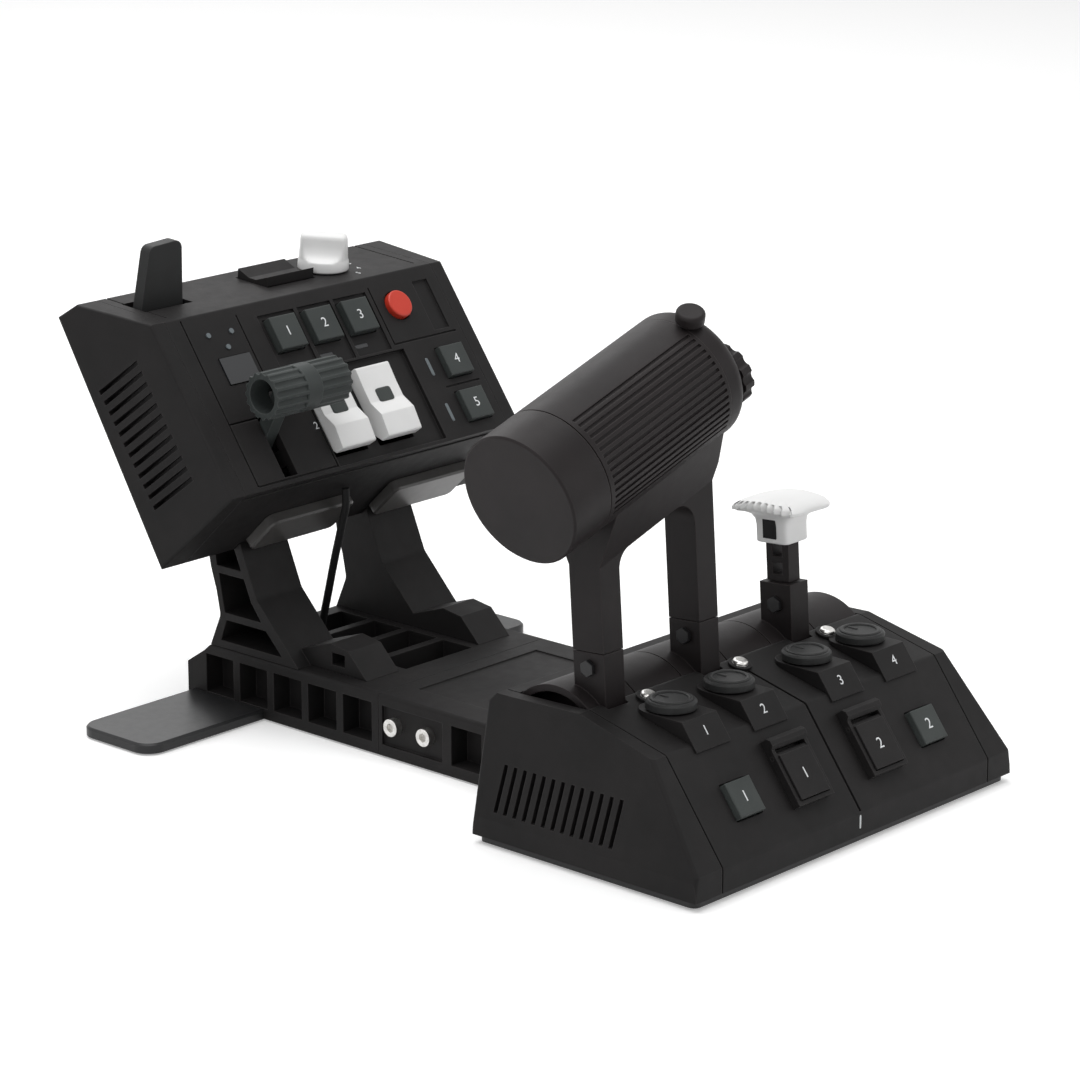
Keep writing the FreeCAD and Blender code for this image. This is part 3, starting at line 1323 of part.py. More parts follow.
def panel_end_covers():
    """Two tapered end covers, wider at the back than at the control face."""
    covers = []
    back_s = "(panel_long + roof_run * cos(roof_turn))"
    back_h = "(-roof_run * sin(roof_turn))"
    for side in (-1, 1):
        cover = new_body("end_cover")
        near = f"({FACE_HALF} + panel_gap)"
        far = "(panel_back_wide / 2)"
        low, high = (near, far) if side > 0 else (f"-{far}", f"-{near}")
        outline = [("0", "0"), ("panel_long", "0"), (back_s, back_h), ("back_s", "-back_h"),
                   ("under_s", "-under_h")]
        sweep(cover, "YZ_Plane", low, high, outline)
        flare = "((panel_back_wide - panel_wide) / 2 / under_h)"
        taper = [("panel_wide / 2 - 4 * " + flare, "4"), ("panel_back_wide / 2 + 5", "4"),
                 ("panel_back_wide / 2 + 5", "-under_h - 4"),
                 ("panel_back_wide / 2 + 4 * " + flare, "-under_h - 4")]
        if side < 0:
            taper = [(f"-({x})", z) for x, z in taper]
        sweep(cover, "XZ_Plane", "-20", "120", taper, cut=True)
        round_edges(cover, lambda middle, edge: abs(middle.x) > value(near) + 4
                    and not along(edge, SIDE), "end_round")
        outline = [("end_vent_s", "-end_vent_deep"), ("end_vent_s + vent_width", "-end_vent_deep"),
                   ("end_vent_s + vent_width + 1", "-end_vent_deep + end_vent_long"),
                   ("end_vent_s + 1", "-end_vent_deep + end_vent_long")]
        slot_low = "(panel_wide / 2 + 0.8)"
        ends = (slot_low, far) if side > 0 else (f"-{far}", f"-{slot_low}")
        slot = sweep(cover, "YZ_Plane", *ends, outline, cut=True)
        repeat_line(cover, slot, "Y_Axis", "vent_pitch", "end_vent_count")
        covers.append(seat(cover, PANEL))
    return group("panel_end_covers", covers)


def panel_lights():
    """Three round lamps and a label window beside them."""
    lights = []
    for x, s in (("-56.2", "66.1"), ("-44", "66"), ("-49.1", "59.9")):
        lamp = new_body("lamp")
        disc(lamp, x, s, "lamp_radius", "0", "0.5")
        lights.append(seat(lamp, PANEL))
    window = new_body("label_window")
    box(window, "-56.6", "-40.4", "44.5", "55.8", "-recess_deep", "0.5")
    lights.append(seat(window, PANEL))
    return group("panel_lights", lights)


def white_rocker(number):
    """A big saddle-shaped rocker with stub pins."""
    body = new_body(f"white_rocker_{number}")
    half = "rocker_long / 2"
    outline = [(f"-{half}", "0.5"), (f"-{half}", "rocker_lip"), ("-rocker_long / 5", "rocker_crest"),
               ("0", "rocker_dip"), ("rocker_long / 5", "rocker_dip"), (half, "rocker_lip - 1"),
               (half, "0.5"), ("rocker_long / 3", "-3.6"), ("-rocker_long / 3", "-3.6")]
    sweep(body, "YZ_Plane", "-rocker_wide / 2", "rocker_wide / 2", outline)
    round_edges(body, lambda middle, edge: along(edge, SIDE) and middle.z > 2, "0.9")
    reach = "(rocker_wide / 2 + key_gap + cheek_thick)"
    rod(body, "0", "rocker_axis", "pin_radius", f"-{reach}", reach)
    box(body, "-rocker_wide / 2 + 1", "rocker_wide / 2 - 1", "-2.6", "2.6", "rocker_axis - pin_radius",
        "0")
    return seat(body, PANEL, ROCKER_SEATS[number - 1], "rocker_s", "0")


def red_button():
    body = new_body("red_button")
    disc(body, "0", "0", "red_radius", "-5", "red_high")
    round_edges(body, lambda middle, edge: middle.z > value("red_high") - 0.1, "0.8")
    disc(body, "0", "0", "red_radius + key_flange", "-6.2", "-5")
    return seat(body, PANEL, "red_x", "red_s", "0")


def flap_arm():
    """The flat arm that comes through the slot in the face and carries the ribbed knob."""
    body = new_body("flap_arm")
    half = "flap_arm_wide / 2"
    outline = [("-3.2", "-3.2"), ("3.2", "-3.2"), ("flap_knob_s + 2.6", "flap_knob_h - 4"),
               ("flap_knob_s + 1", "flap_knob_h"), ("flap_knob_s - 3", "flap_knob_h - 2")]
    sweep(body, "YZ_Plane", f"-{half}", half, outline)
    rod(body, "0", "0", "pin_radius + running_fit", f"-{half}", half, cut=True)
    return seat(body, PANEL, "flap_x", "flap_pivot_s", "-flap_pivot_deep")


def flap_knob():
    """The ribbed, hollow-ended cylinder across the end of the arm."""
    body = new_body("flap_knob")
    low = "-flap_knob_long / 2"
    high = "flap_knob_long / 2"
    rod(body, "0", "0", "flap_knob_radius", low, high)
    notch = sweep(body, "YZ_Plane", low, high, circles=[("0", "flap_knob_radius + 0.7", "1.5")], cut=True)
    repeat_round(body, notch, "X_Axis", "22.5", "16")
    rod(body, "0", "0", "flap_knob_radius - 2.6", low, f"{low} + 12", cut=True)
    sweep(body, "YZ_Plane", "-flap_shift - flap_arm_wide / 2 - 0.1",
          "-flap_shift + flap_arm_wide / 2 + 0.1",
          [("-8", "-12"), ("3.6", "-12"), ("3.6", "1"), ("-8", "1")], cut=True)
    return seat(body, PANEL, "flap_x + flap_shift", "flap_pivot_s + flap_knob_s",
                "-flap_pivot_deep + flap_knob_h")


def gear_paddle():
    """A flat, tapered paddle on a hinge barrel under the roof."""
    body = new_body("gear_paddle")
    sweep(body, "XZ_Plane", "-gear_thick / 2", "gear_thick / 2",
          [("-gear_wide / 2", "0"), ("gear_wide / 2", "0"), ("gear_wide / 2 - 1.6", "gear_high"),
           ("-gear_wide / 2 + 4.6", "gear_high - 1")])
    round_edges(body, lambda middle, edge: along(edge, DEPTH) and middle.z > 5, "3.4")
    rod(body, "0", "0", "3", "-gear_wide / 2", "gear_wide / 2")
    reach = "(gear_wide / 2 + key_gap + cheek_thick)"
    rod(body, "0", "0", "pin_radius", f"-{reach}", reach)
    return seat(body, ROOF, "gear_x", "gear_t", "-gear_deep")


def top_rocker():
    """A saddle rocker in the roof."""
    body = new_body("top_rocker")
    half = "roof_rocker_long / 2"
    outline = [(f"-{half}", "0"), (f"-{half}", "4"), ("-2", "1.6"), ("2", "1.6"), (half, "4"),
               (half, "0"), ("3", "-roof_rocker_deep - 1.6"),
               ("-3", "-roof_rocker_deep - 1.6")]
    sweep(body, "YZ_Plane", "-roof_rocker_wide / 2", "roof_rocker_wide / 2", outline)
    reach = "(roof_rocker_wide / 2 + key_gap + cheek_thick)"
    rod(body, "0", "-roof_rocker_deep", "pin_radius", f"-{reach}", reach)
    return seat(body, ROOF, "roof_rocker_x", "roof_rocker_t", "0")


def mode_knob():
    """The tall white rotary knob on the roof."""
    body = new_body("mode_knob")
    disc(body, "0", "0", "mode_radius", "0.5", "mode_high")
    round_edges(body, lambda middle, edge: middle.z > value("mode_high") - 0.1, "2.4")
    disc(body, "0", "0", "knob_shaft", "-panel_skin - 4", "0.5")
    return seat(body, ROOF, "mode_x", "mode_t", "0")


# ---------------------------------------------------------------------------- assembly
def build():
    base_plate()
    base_housing()
    side_cover("side_cover_left", -1)
    side_cover("side_cover_right", 1)
    base_feet()
    drum_axle()
    axle_bearings()
    drum_blanks()
    drum_screws()
    label_tiles()
    guard_frames()
    base_board()
    lever_hub("lever_hub_left", 0, "-leg_left_x", "socket_top")
    lever_hub("lever_hub_right", 2, "-leg_right_x", "socket_top")
    lever_hub("small_hub", 4, "small_x", "small_top")
    clamp_screws()
    grip_body()
    grip_cap()
    grip_collar()
    grip_hat()
    grip_dial()
    small_stem()
    small_handle()
    small_clamp_screw()
    handle_button()
    for number in range(1, 5):
        rotary_knob(number)
    for number, (key_x, guard_x) in enumerate(KEY_COLUMNS, start=1):
        square_key(f"base_key_{number}", key_x, "key_s", FRONT, "key_size", "key_high", "wall + 2")
        guard_cover(number, guard_x)
        guard_button(number, guard_x)
    rail_front()
    rail_rear()
    rail_screws()
    foot_plate()
    support_arm("support_arm_left", -1)
    support_arm("support_arm_right", 1)
    arm_clamps()
    panel_cable()
    panel_fascia()
    panel_rear_shell()
    panel_end_covers()
    panel_lights()
    gear_paddle()
    top_rocker()
    mode_knob()
    for number, (x, s, wide) in enumerate(PANEL_KEYS, start=1):
        square_key(f"panel_key_{number}", x, s, PANEL, wide, "key_high", "panel_skin + 1.6")
    red_button()
    white_rocker(1)
    white_rocker(2)
    flap_arm()
    flap_knob()


def check_all():
    """Stop unless every object computed and every sub-part is a sound solid."""
    faults = [item.Label for item in DOC.Objects
              if "Invalid" in item.State or "Error" in item.State]
    faults += [part.Label for part in PARTS if part.Shape.isNull() or not part.Shape.isValid()
               or part.Shape.Volume <= 0]
    assert not faults, "faults in " + ", ".join(faults)


build()
DOC.recompute()
check_all()
os.makedirs("parts", exist_ok=True)
for part in PARTS:
    part.Shape.exportStep(f"parts/{part.Label}.step")
    print(f"{part.Label:20s} solids {len(part.Shape.Solids):2d}  volume {part.Shape.Volume:9.0f}")
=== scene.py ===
"""Looks of the desk throttle quadrant: materials, numbers, sculpted pieces, light and camera.

Lengths in the tables and in the shape functions are millimetres; MM turns them into metres.
"""
import math

import bpy
from mathutils import Matrix, Vector


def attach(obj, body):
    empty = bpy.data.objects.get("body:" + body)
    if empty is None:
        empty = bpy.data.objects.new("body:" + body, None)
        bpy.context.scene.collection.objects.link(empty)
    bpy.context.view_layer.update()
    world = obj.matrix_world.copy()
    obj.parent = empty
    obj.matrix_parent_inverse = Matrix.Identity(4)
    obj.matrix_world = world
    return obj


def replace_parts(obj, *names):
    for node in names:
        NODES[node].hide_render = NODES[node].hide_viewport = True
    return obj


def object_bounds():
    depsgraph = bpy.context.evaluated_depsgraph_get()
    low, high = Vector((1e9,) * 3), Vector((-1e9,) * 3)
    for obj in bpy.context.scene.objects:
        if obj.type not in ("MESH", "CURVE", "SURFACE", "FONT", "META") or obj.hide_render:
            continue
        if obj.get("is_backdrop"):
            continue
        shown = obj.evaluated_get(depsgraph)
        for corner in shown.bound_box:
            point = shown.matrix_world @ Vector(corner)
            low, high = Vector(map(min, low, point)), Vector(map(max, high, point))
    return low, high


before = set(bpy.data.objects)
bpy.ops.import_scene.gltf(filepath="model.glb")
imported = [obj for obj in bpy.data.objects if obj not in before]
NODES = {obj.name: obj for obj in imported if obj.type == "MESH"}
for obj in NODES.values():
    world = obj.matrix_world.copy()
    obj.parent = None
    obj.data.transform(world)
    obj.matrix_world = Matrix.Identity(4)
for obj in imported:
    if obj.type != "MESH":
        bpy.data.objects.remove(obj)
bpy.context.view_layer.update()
MM = 0.001


# ------------------------------------------------------------------ shader helpers
NOISE_ROUGHNESS = 0.55
RAMP_FROM, RAMP_TO = 0.35, 0.65
BEVEL_SAMPLES = 6


class Shader:
    """A small node-tree writer: each method adds nodes and returns the last one's output."""

    def __init__(self, name):
        self.material = bpy.data.materials.new(name)
        self.material.use_nodes = True
        self.tree = self.material.node_tree
        self.surface = self.tree.nodes["Principled BSDF"]
        self.place = self.tree.nodes.new("ShaderNodeTexCoord").outputs["Object"]

    def link(self, source, target):
        self.tree.links.new(source, target)

    def noise(self, scale, detail=3.0):
        node = self.tree.nodes.new("ShaderNodeTexNoise")
        node.inputs["Scale"].default_value = scale
        node.inputs["Detail"].default_value = detail
        node.inputs["Roughness"].default_value = NOISE_ROUGHNESS
        self.link(self.place, node.inputs["Vector"])
        return node.outputs["Fac"]

    def cells(self, scale):
        node = self.tree.nodes.new("ShaderNodeTexVoronoi")
        node.inputs["Scale"].default_value = scale
        self.link(self.place, node.inputs["Vector"])
        return node.outputs["Distance"]

    def ramp(self, source, low, high):
        """A colour between two, for a noise that stays mostly about its middle."""
        node = self.tree.nodes.new("ShaderNodeValToRGB")
        first, last = node.color_ramp.elements
        first.position, last.position = RAMP_FROM, RAMP_TO
        first.color = (*low, 1.0)
        last.color = (*high, 1.0)
        self.link(source, node.inputs["Fac"])
        return node.outputs["Color"]

    def span(self, source, low, high, source_low=0.0, source_high=1.0):
        """A number carried from one range to another."""
        node = self.tree.nodes.new("ShaderNodeMapRange")
        node.inputs["From Min"].default_value = source_low
        node.inputs["From Max"].default_value = source_high
        node.inputs["To Min"].default_value = low
        node.inputs["To Max"].default_value = high
        self.link(source, node.inputs["Value"])
        return node.outputs["Result"]

    def bevelled(self, radius):
        """The normal as it would be with every edge rounded."""
        node = self.tree.nodes.new("ShaderNodeBevel")
        node.samples = BEVEL_SAMPLES
        node.inputs["Radius"].default_value = radius
        return node.outputs["Normal"]

    def worn_edges(self, colour, worn):
        """The colour, turning to the worn one where the bevelled normal leaves the true one."""
        shape = self.tree.nodes.new("ShaderNodeNewGeometry")
        dot = self.tree.nodes.new("ShaderNodeVectorMath")
        dot.operation = "DOT_PRODUCT"
        self.link(self.bevelled(0.6 * MM), dot.inputs[0])
        self.link(shape.outputs["Normal"], dot.inputs[1])
        blend = self.tree.nodes.new("ShaderNodeMix")
        blend.data_type = "RGBA"
        factor, first, second = (blend.inputs[socket] for socket in (0, 6, 7))
        self.link(self.span(dot.outputs["Value"], 1.0, 0.0, 0.86, 0.99), factor)
        self.link(colour, first)
        second.default_value = (*worn, 1.0)
        return blend.outputs[2]

    def relief(self, height, strength, distance, edge):
        """Bump from a height, over edges rounded by so much."""
        node = self.tree.nodes.new("ShaderNodeBump")
        node.inputs["Strength"].default_value = strength
        node.inputs["Distance"].default_value = distance
        self.link(height, node.inputs["Height"])
        self.link(self.bevelled(edge), node.inputs["Normal"])
        self.link(node.outputs["Normal"], self.surface.inputs["Normal"])

    def set(self, **values):
        """Sockets of the Principled shader, by name with underscores: an output or a constant."""
        for name, value in values.items():
            socket = self.surface.inputs[name.replace("_", " ")]
            if isinstance(value, bpy.types.NodeSocket):
                self.link(value, socket)
            else:
                socket.default_value = value


def moulded(name, dark, pale, rough, grain=2600.0, depth=0.05 * MM, worn=None, gloss=0.15):
    """Textured injection-moulded plastic: fine grain, faint colour clouds, polished edges."""
    shader = Shader(name)
    colour = shader.ramp(shader.noise(26.0, 4.0), dark, pale)
    if worn:
        colour = shader.worn_edges(colour, worn)
    shader.set(Base_Color=colour, Roughness=shader.span(shader.noise(180.0, 5.0), *rough),
               Specular_IOR_Level=gloss)
    shader.relief(shader.cells(grain), 0.35, depth, 0.5 * MM)
    return shader.material


def painted(name, colour, rough, grain, depth):
    """Powder-coated or satin metal with a fine orange-peel skin."""
    shader = Shader(name)
    dim = tuple(channel * 0.86 for channel in colour)
    shader.set(Base_Color=shader.ramp(shader.noise(60.0), dim, colour),
               Roughness=shader.span(shader.noise(240.0), *rough), Specular_IOR_Level=0.3)
    shader.relief(shader.noise(grain, 2.0), 0.4, depth, 0.4 * MM)
    return shader.material


def bright_steel(name):
    """Turned, zinc-plated steel with fine lathe marks."""
    shader = Shader(name)
    colour = shader.ramp(shader.noise(500.0), (0.56, 0.55, 0.53), (0.74, 0.73, 0.71))
    shader.set(Base_Color=colour, Metallic=1.0,
               Roughness=shader.span(shader.noise(900.0), 0.22, 0.38))
    shader.relief(shader.noise(2400.0), 0.2, 0.03 * MM, 0.3 * MM)
    return shader.material


def plain(name, colour, glow=0.0):
    """Marking ink or a small lamp window, which may glow."""
    shader = Shader(name)
    shader.set(Base_Color=(*colour, 1.0), Roughness=0.35, Emission_Color=(*colour, 1.0),
               Emission_Strength=glow)
    return shader.material


SHELL = moulded("shell_plastic", (0.0085, 0.0080, 0.0081), (0.0135, 0.0124, 0.0125), (0.50, 0.66),
                worn=(0.030, 0.028, 0.028))
GRIP = moulded("grip_plastic", (0.0115, 0.0095, 0.0098), (0.0165, 0.0135, 0.0138), (0.42, 0.54),
               grain=3200.0, worn=(0.036, 0.030, 0.030))
KEY = moulded("key_plastic", (0.040, 0.045, 0.044), (0.054, 0.060, 0.058), (0.46, 0.58),
              grain=4200.0, worn=(0.085, 0.093, 0.09))
PADDLE = moulded("paddle_plastic", (0.022, 0.0225, 0.0225), (0.031, 0.0315, 0.0315), (0.42, 0.56),
                 grain=3600.0, worn=(0.055, 0.055, 0.055))
FLAP = moulded("flap_plastic", (0.034, 0.039, 0.038), (0.047, 0.053, 0.052), (0.36, 0.5),
               grain=3600.0, worn=(0.08, 0.088, 0.085))
WHITE = moulded("white_plastic", (0.76, 0.76, 0.755), (0.82, 0.82, 0.815), (0.28, 0.40),
                grain=5200.0, depth=0.02 * MM, gloss=0.36)
RED = moulded("red_plastic", (0.52, 0.035, 0.018), (0.60, 0.048, 0.024), (0.28, 0.4),
              grain=5200.0, depth=0.02 * MM, gloss=0.36)
RUBBER = moulded("rubber", (0.010, 0.010, 0.0103), (0.016, 0.016, 0.0163), (0.55, 0.7),
                 grain=1800.0)
BOARD = painted("board", (0.02, 0.10, 0.05), (0.35, 0.5), 900.0, 0.04 * MM)
PLATE = painted("plate_metal", (0.020, 0.020, 0.021), (0.30, 0.42), 2200.0, 0.05 * MM)
SATIN = painted("satin_metal", (0.075, 0.072, 0.070), (0.26, 0.36), 2200.0, 0.04 * MM)
BLACK_STEEL = painted("black_steel", (0.018, 0.018, 0.019), (0.28, 0.4), 2600.0, 0.03 * MM)
STEEL = bright_steel("steel")
MARK = plain("marking_ink", (0.74, 0.76, 0.77))
LAMP = plain("lamp", (0.10, 0.12, 0.13))
LAMP_ON = plain("lamp_on", (0.45, 0.47, 0.47), glow=0.25)
WINDOW = plain("label_window", (0.016, 0.017, 0.019))

FINISHES = {
    GRIP: ["grip_body", "grip_cap", "grip_collar", "grip_hat", "grip_dial", "lever_hub_left",
           "lever_hub_right", "small_hub", "small_stem", "drum_blanks"],
    KEY: ["base_key_1", "base_key_2"] + [f"panel_key_{n}" for n in range(1, 6)],
    PADDLE: ["gear_paddle"] + [f"rotary_knob_{n}" for n in range(1, 5)],
    FLAP: ["flap_arm", "flap_knob"],
    WHITE: ["small_handle", "white_rocker_1", "white_rocker_2", "mode_knob"],
    RED: ["red_button"],
    RUBBER: ["base_feet", "panel_cable", "handle_button"],
    BOARD: ["base_board"],
    PLATE: ["foot_plate", "base_plate"],
    SATIN: ["arm_clamps"],
    STEEL: ["rail_screws", "drum_axle", "axle_bearings"],
    BLACK_STEEL: ["clamp_screws", "small_clamp_screw"],
}


# ------------------------------------------------------------------ faces and places on them
def face_frame(tilt, low_y, low_z):
    """The frame of a tilted face: x across, y up the slope, z outward."""
    turn = Matrix.Rotation(math.radians(tilt), 4, "X")
    return Matrix.Translation(Vector((0.0, low_y, low_z)) * MM) @ turn


BENCH = face_frame(0.0, 0.0, 0.0)
FRONT = face_frame(53.3, -53.0, 12.0)
DECK = face_frame(13.8, -26.59, 47.44)
PANEL = face_frame(54.4, 189.0, 101.2)
ROOF = face_frame(4.1, 232.95, 162.59)
LEVER = face_frame(-3.86, 26.0, 37.5)

KNOB_X = (-55.0, -22.5, 22.5, 55.0)     # the four rotary knobs, on the bench's axes
KNOB_Y = -9.0
PANEL_KEYS = ((-18.0, 60.0), (2.0, 60.0), (22.3, 60.0), (61.5, 32.3), (61.0, 12.3))
MODE = (32.0, 20.0)                     # the mode knob's axis on the roof
SCREW_RING_TOP = 1.22                   # above the deck: the steel screws in their black rings
LABEL_WINDOW = (-48.5, 8.3, 56.0)       # on the panel: its middle, half width and upper end
PRINT_LIFT = 0.03                       # half the ink's thickness, and its lift off the surface


# ------------------------------------------------------------------ finishes of the CAD nodes
def dress_nodes():
    """Give every CAD node its finish; what is not listed is shell plastic."""
    finish_of = {node: finish for finish, nodes in FINISHES.items() for node in nodes}
    for name, node in NODES.items():
        node.data.materials.clear()
        node.data.materials.append(finish_of.get(name, SHELL))


def dress_parts(name, finishes, face, choose):
    """Two finishes for one node; choose says which, from each polygon's middle on a face."""
    node = NODES[name]
    node.data.materials.clear()
    for finish in finishes:
        node.data.materials.append(finish)
    onto = face.inverted() @ node.matrix_world
    for polygon in node.data.polygons:
        polygon.material_index = int(choose((onto @ polygon.center) / MM))


def above_screw_rings(point):
    return point.z > SCREW_RING_TOP


def in_label_window(point):
    middle, half, top = LABEL_WINDOW
    return abs(point.x - middle) < half and point.y < top


# ------------------------------------------------------------------ shapes
def add(name, data, body, place=Matrix.Identity(4)):
    """A new object at its place in the scene, which rides a body from there."""
    piece = bpy.data.objects.new(name, data)
    bpy.context.scene.collection.objects.link(piece)
    piece.matrix_world = place
    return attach(piece, body)


def surface(node, face, x, y):
    """The height of a CAD node's outer surface over a point of a face, in millimetres."""
    into = NODES[node].matrix_world.inverted() @ face
    over_all = 60.0
    start = into @ (Vector((x, y, over_all)) * MM)
    heading = (into.to_3x3() @ Vector((0.0, 0.0, -1.0))).normalized()
    hit, where, _, _ = NODES[node].ray_cast(start, heading)
    if not hit:
        raise RuntimeError(f"no surface of {node} under {x}, {y}")
    return (into.inverted() @ where).z / MM


def numeral(name, number, face, x, y, size, node, body):
    """A plain number printed on a key, a knob's surround or a label slope."""
    curve = bpy.data.curves.new(name, "FONT")
    curve.body = str(number)
    curve.size = size * MM
    curve.align_x = "CENTER"
    curve.align_y = "CENTER"
    curve.extrude = PRINT_LIFT * MM
    curve.materials.append(MARK)
    z = surface(node, face, x, y) + PRINT_LIFT
    add(name, curve, body, face @ Matrix.Translation(Vector((x, y, z)) * MM))


def skin(name, face, rings, finish, body, closed=False, smooth=True):
    """A skin through rings of points given in a face's frame, in millimetres.

    Its first and last rings are capped, unless it is closed: then the last ring joins the
    first, and the middle stays free.
    """
    count, levels = len(rings[0]), len(rings)
    points = [face @ (Vector(point) * MM) for ring in rings for point in ring]
    faces = []
    for level in range(levels if closed else levels - 1):
        here, above = level * count, (level + 1) % levels * count
        faces += [(here + i, here + (i + 1) % count, above + (i + 1) % count, above + i)
                  for i in range(count)]
    if not closed:
        faces.append(tuple(range(count))[::-1])
        faces.append(tuple(range((levels - 1) * count, levels * count)))
    mesh = bpy.data.meshes.new(name)
    mesh.from_pydata(points, [], faces)
    mesh.materials.append(finish)
    if smooth:
        mesh.shade_smooth()
        mesh.set_sharp_from_angle(angle=math.radians(38))
    return add(name, mesh, body)


def oval(x, y, z, half_x, half_y, power=2.0, count=48):
    """One ring: an ellipse at power 2, squarer with a higher power."""
    ring = []
    for i in range(count):
        angle = 2.0 * math.pi * i / count
        across, along = math.cos(angle), math.sin(angle)
        ring.append((x + math.copysign(abs(across) ** (2.0 / power), across) * half_x,
                     y + math.copysign(abs(along) ** (2.0 / power), along) * half_y, z))
    return ring


def evenly(ring, count):
    """A closed ring's points again, at equal steps along it."""
    steps = [math.dist(point, after) for point, after in zip(ring, ring[1:] + ring[:1])]
    gap = sum(steps) / count
    even = []
    travelled = 0.0
    for point, after, step in zip(ring, ring[1:] + ring[:1], steps):
        while len(even) < count and len(even) * gap < travelled + step:
            share = (len(even) * gap - travelled) / step
            even.append(tuple(a + (b - a) * share for a, b in zip(point, after)))
        travelled += step
    return even


def pad(name, face, middle, half, high, finish, body):
    """A low rounded block on a point of a face, with a softened upper rim."""
    x, y, z = middle
    half_x, half_y = half
    power, soft = 6.0, 0.25
    rings = [oval(x, y, z, half_x, half_y, power),
             oval(x, y, z + high - soft, half_x, half_y, power),
             oval(x, y, z + high, half_x - soft, half_y - soft, power)]
    skin(name, face, rings, finish, body)


# ------------------------------------------------------------------ printed numbers
def base_numbers():
    """On the four pods' label slopes, the two keys and the two guards."""
    for number, x in enumerate(KNOB_X, start=1):
        numeral(f"pod_number_{number}", number, FRONT, x, 47.5, 5.4, "label_tiles", "stand")
    for number, x in ((1, -54.0), (2, 54.0)):
        numeral(f"key_number_{number}", number, FRONT, x, 20.3, 6.0, f"base_key_{number}",
                f"key_{number}")
    for number, x in ((1, -22.0), (2, 22.0)):
        numeral(f"guard_number_{number}", number, FRONT, x, 20.0, 6.0, f"guard_cover_{number}",
                f"guard_{number}")


def panel_numbers():
    """On the five keys, beside the white rockers and round the mode knob."""
    for number, (x, y) in enumerate(PANEL_KEYS, start=1):
        numeral(f"panel_number_{number}", number, PANEL, x, y, 5.8, f"panel_key_{number}",
                f"panel_{number}")
    for number, x in ((1, 26.2), (2, -24.4)):
        numeral(f"rocker_number_{number}", number, PANEL, x, 20.0, 4.4, "panel_fascia", "stand")
    radius, first, step = 15.0, 60.0, 30.0
    for number in range(1, 6):
        angle = math.radians(first - step * (number - 1))
        x, y = MODE[0] + radius * math.cos(angle), MODE[1] + radius * math.sin(angle)
        numeral(f"mode_number_{number}", number, ROOF, x, y, 3.6, "panel_fascia", "stand")


# ------------------------------------------------------------------ sculpted pieces
HANDLE_MIDDLE = (40.0, -12.3)
HANDLE_FOOT = 54.3
HANDLE_STRETCH = 0.88
HANDLE_LEVELS = [                       # rise, half width, half depth, squareness
    (0.0, 6.6, 7.2, 8.0), (0.5, 7.0, 7.5, 8.0), (7.6, 7.0, 7.5, 8.0), (10.2, 7.4, 8.0, 6.5),
    (12.6, 8.6, 9.4, 5.5), (14.6, 11.0, 12.0, 4.8), (16.0, 13.6, 14.6, 4.5),
    (17.0, 14.6, 15.6, 4.4), (18.3, 14.7, 15.7, 4.4), (19.2, 14.1, 15.1, 4.0),
    (19.9, 12.2, 13.2, 3.6), (20.3, 8.4, 9.4, 3.0), (20.45, 3.0, 3.6, 2.2)]
LIP_FROM, LIP_TO = 15.0, 19.6           # the rises that the toothed lip spans
TOOTH_DEEP, TOOTH_PITCH, TEETH_REACH = 2.3, 3.2, 13.5


def handle():
    """The white T handle: a square neck that flares into a crowned saddle with a toothed lip."""
    rings = []
    for rise, half_x, half_y, power in HANDLE_LEVELS:
        ring = []
        lift = max(0.0, min(1.0, (rise - 10.0) / 7.0))
        for x, y, _ in evenly(oval(0.0, 0.0, 0.0, half_x, half_y, power, count=1440), 240):
            droop = 2.4 * lift * (abs(y) / 15.0) ** 2 + 0.8 * lift * (abs(x) / 14.0) ** 2
            if LIP_FROM < rise < LIP_TO and x < -5.0 and abs(y) < TEETH_REACH:
                wave = 0.5 + 0.5 * math.cos(2.0 * math.pi * y / TOOTH_PITCH)
                x += TOOTH_DEEP * wave ** 0.6
            ring.append((HANDLE_MIDDLE[0] + x, HANDLE_MIDDLE[1] + y,
                         HANDLE_FOOT + HANDLE_STRETCH * (rise - droop)))
        rings.append(ring)
    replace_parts(skin("saddle_handle", LEVER, rings, WHITE, "small_lever"), "small_handle")


SELECTOR_RADIUS = 10.5
SELECTOR_TURN = -50.0
SELECTOR_LEVELS = [                     # height, how far within the radius, the bar's half width
    (0.5, 0.3, 20.0), (0.9, 0.0, 20.0), (4.2, 0.1, 20.0), (4.8, 0.4, 10.1), (5.2, 0.45, 8.2),
    (6.2, 0.5, 6.4), (8.0, 0.6, 5.2), (10.5, 0.7, 4.5), (13.0, 0.8, 4.2), (14.2, 1.1, 3.9),
    (14.8, 1.8, 3.2), (15.0, 3.0, 2.0)]


def selector():
    """The white mode knob: a round skirt under a tall finger bar with scooped sides."""
    spin = math.radians(SELECTOR_TURN)
    rings = []
    for height, within, half in SELECTOR_LEVELS:
        reach = SELECTOR_RADIUS - within
        ring = []
        for u, v, _ in oval(0.0, 0.0, 0.0, reach, reach, count=96):
            v = max(-half, min(half, v))
            ring.append((MODE[0] + u * math.cos(spin) - v * math.sin(spin),
                         MODE[1] + u * math.sin(spin) + v * math.cos(spin), height))
        rings.append(ring)
    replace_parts(skin("selector_knob", ROOF, rings, WHITE, "mode"), "mode_knob")


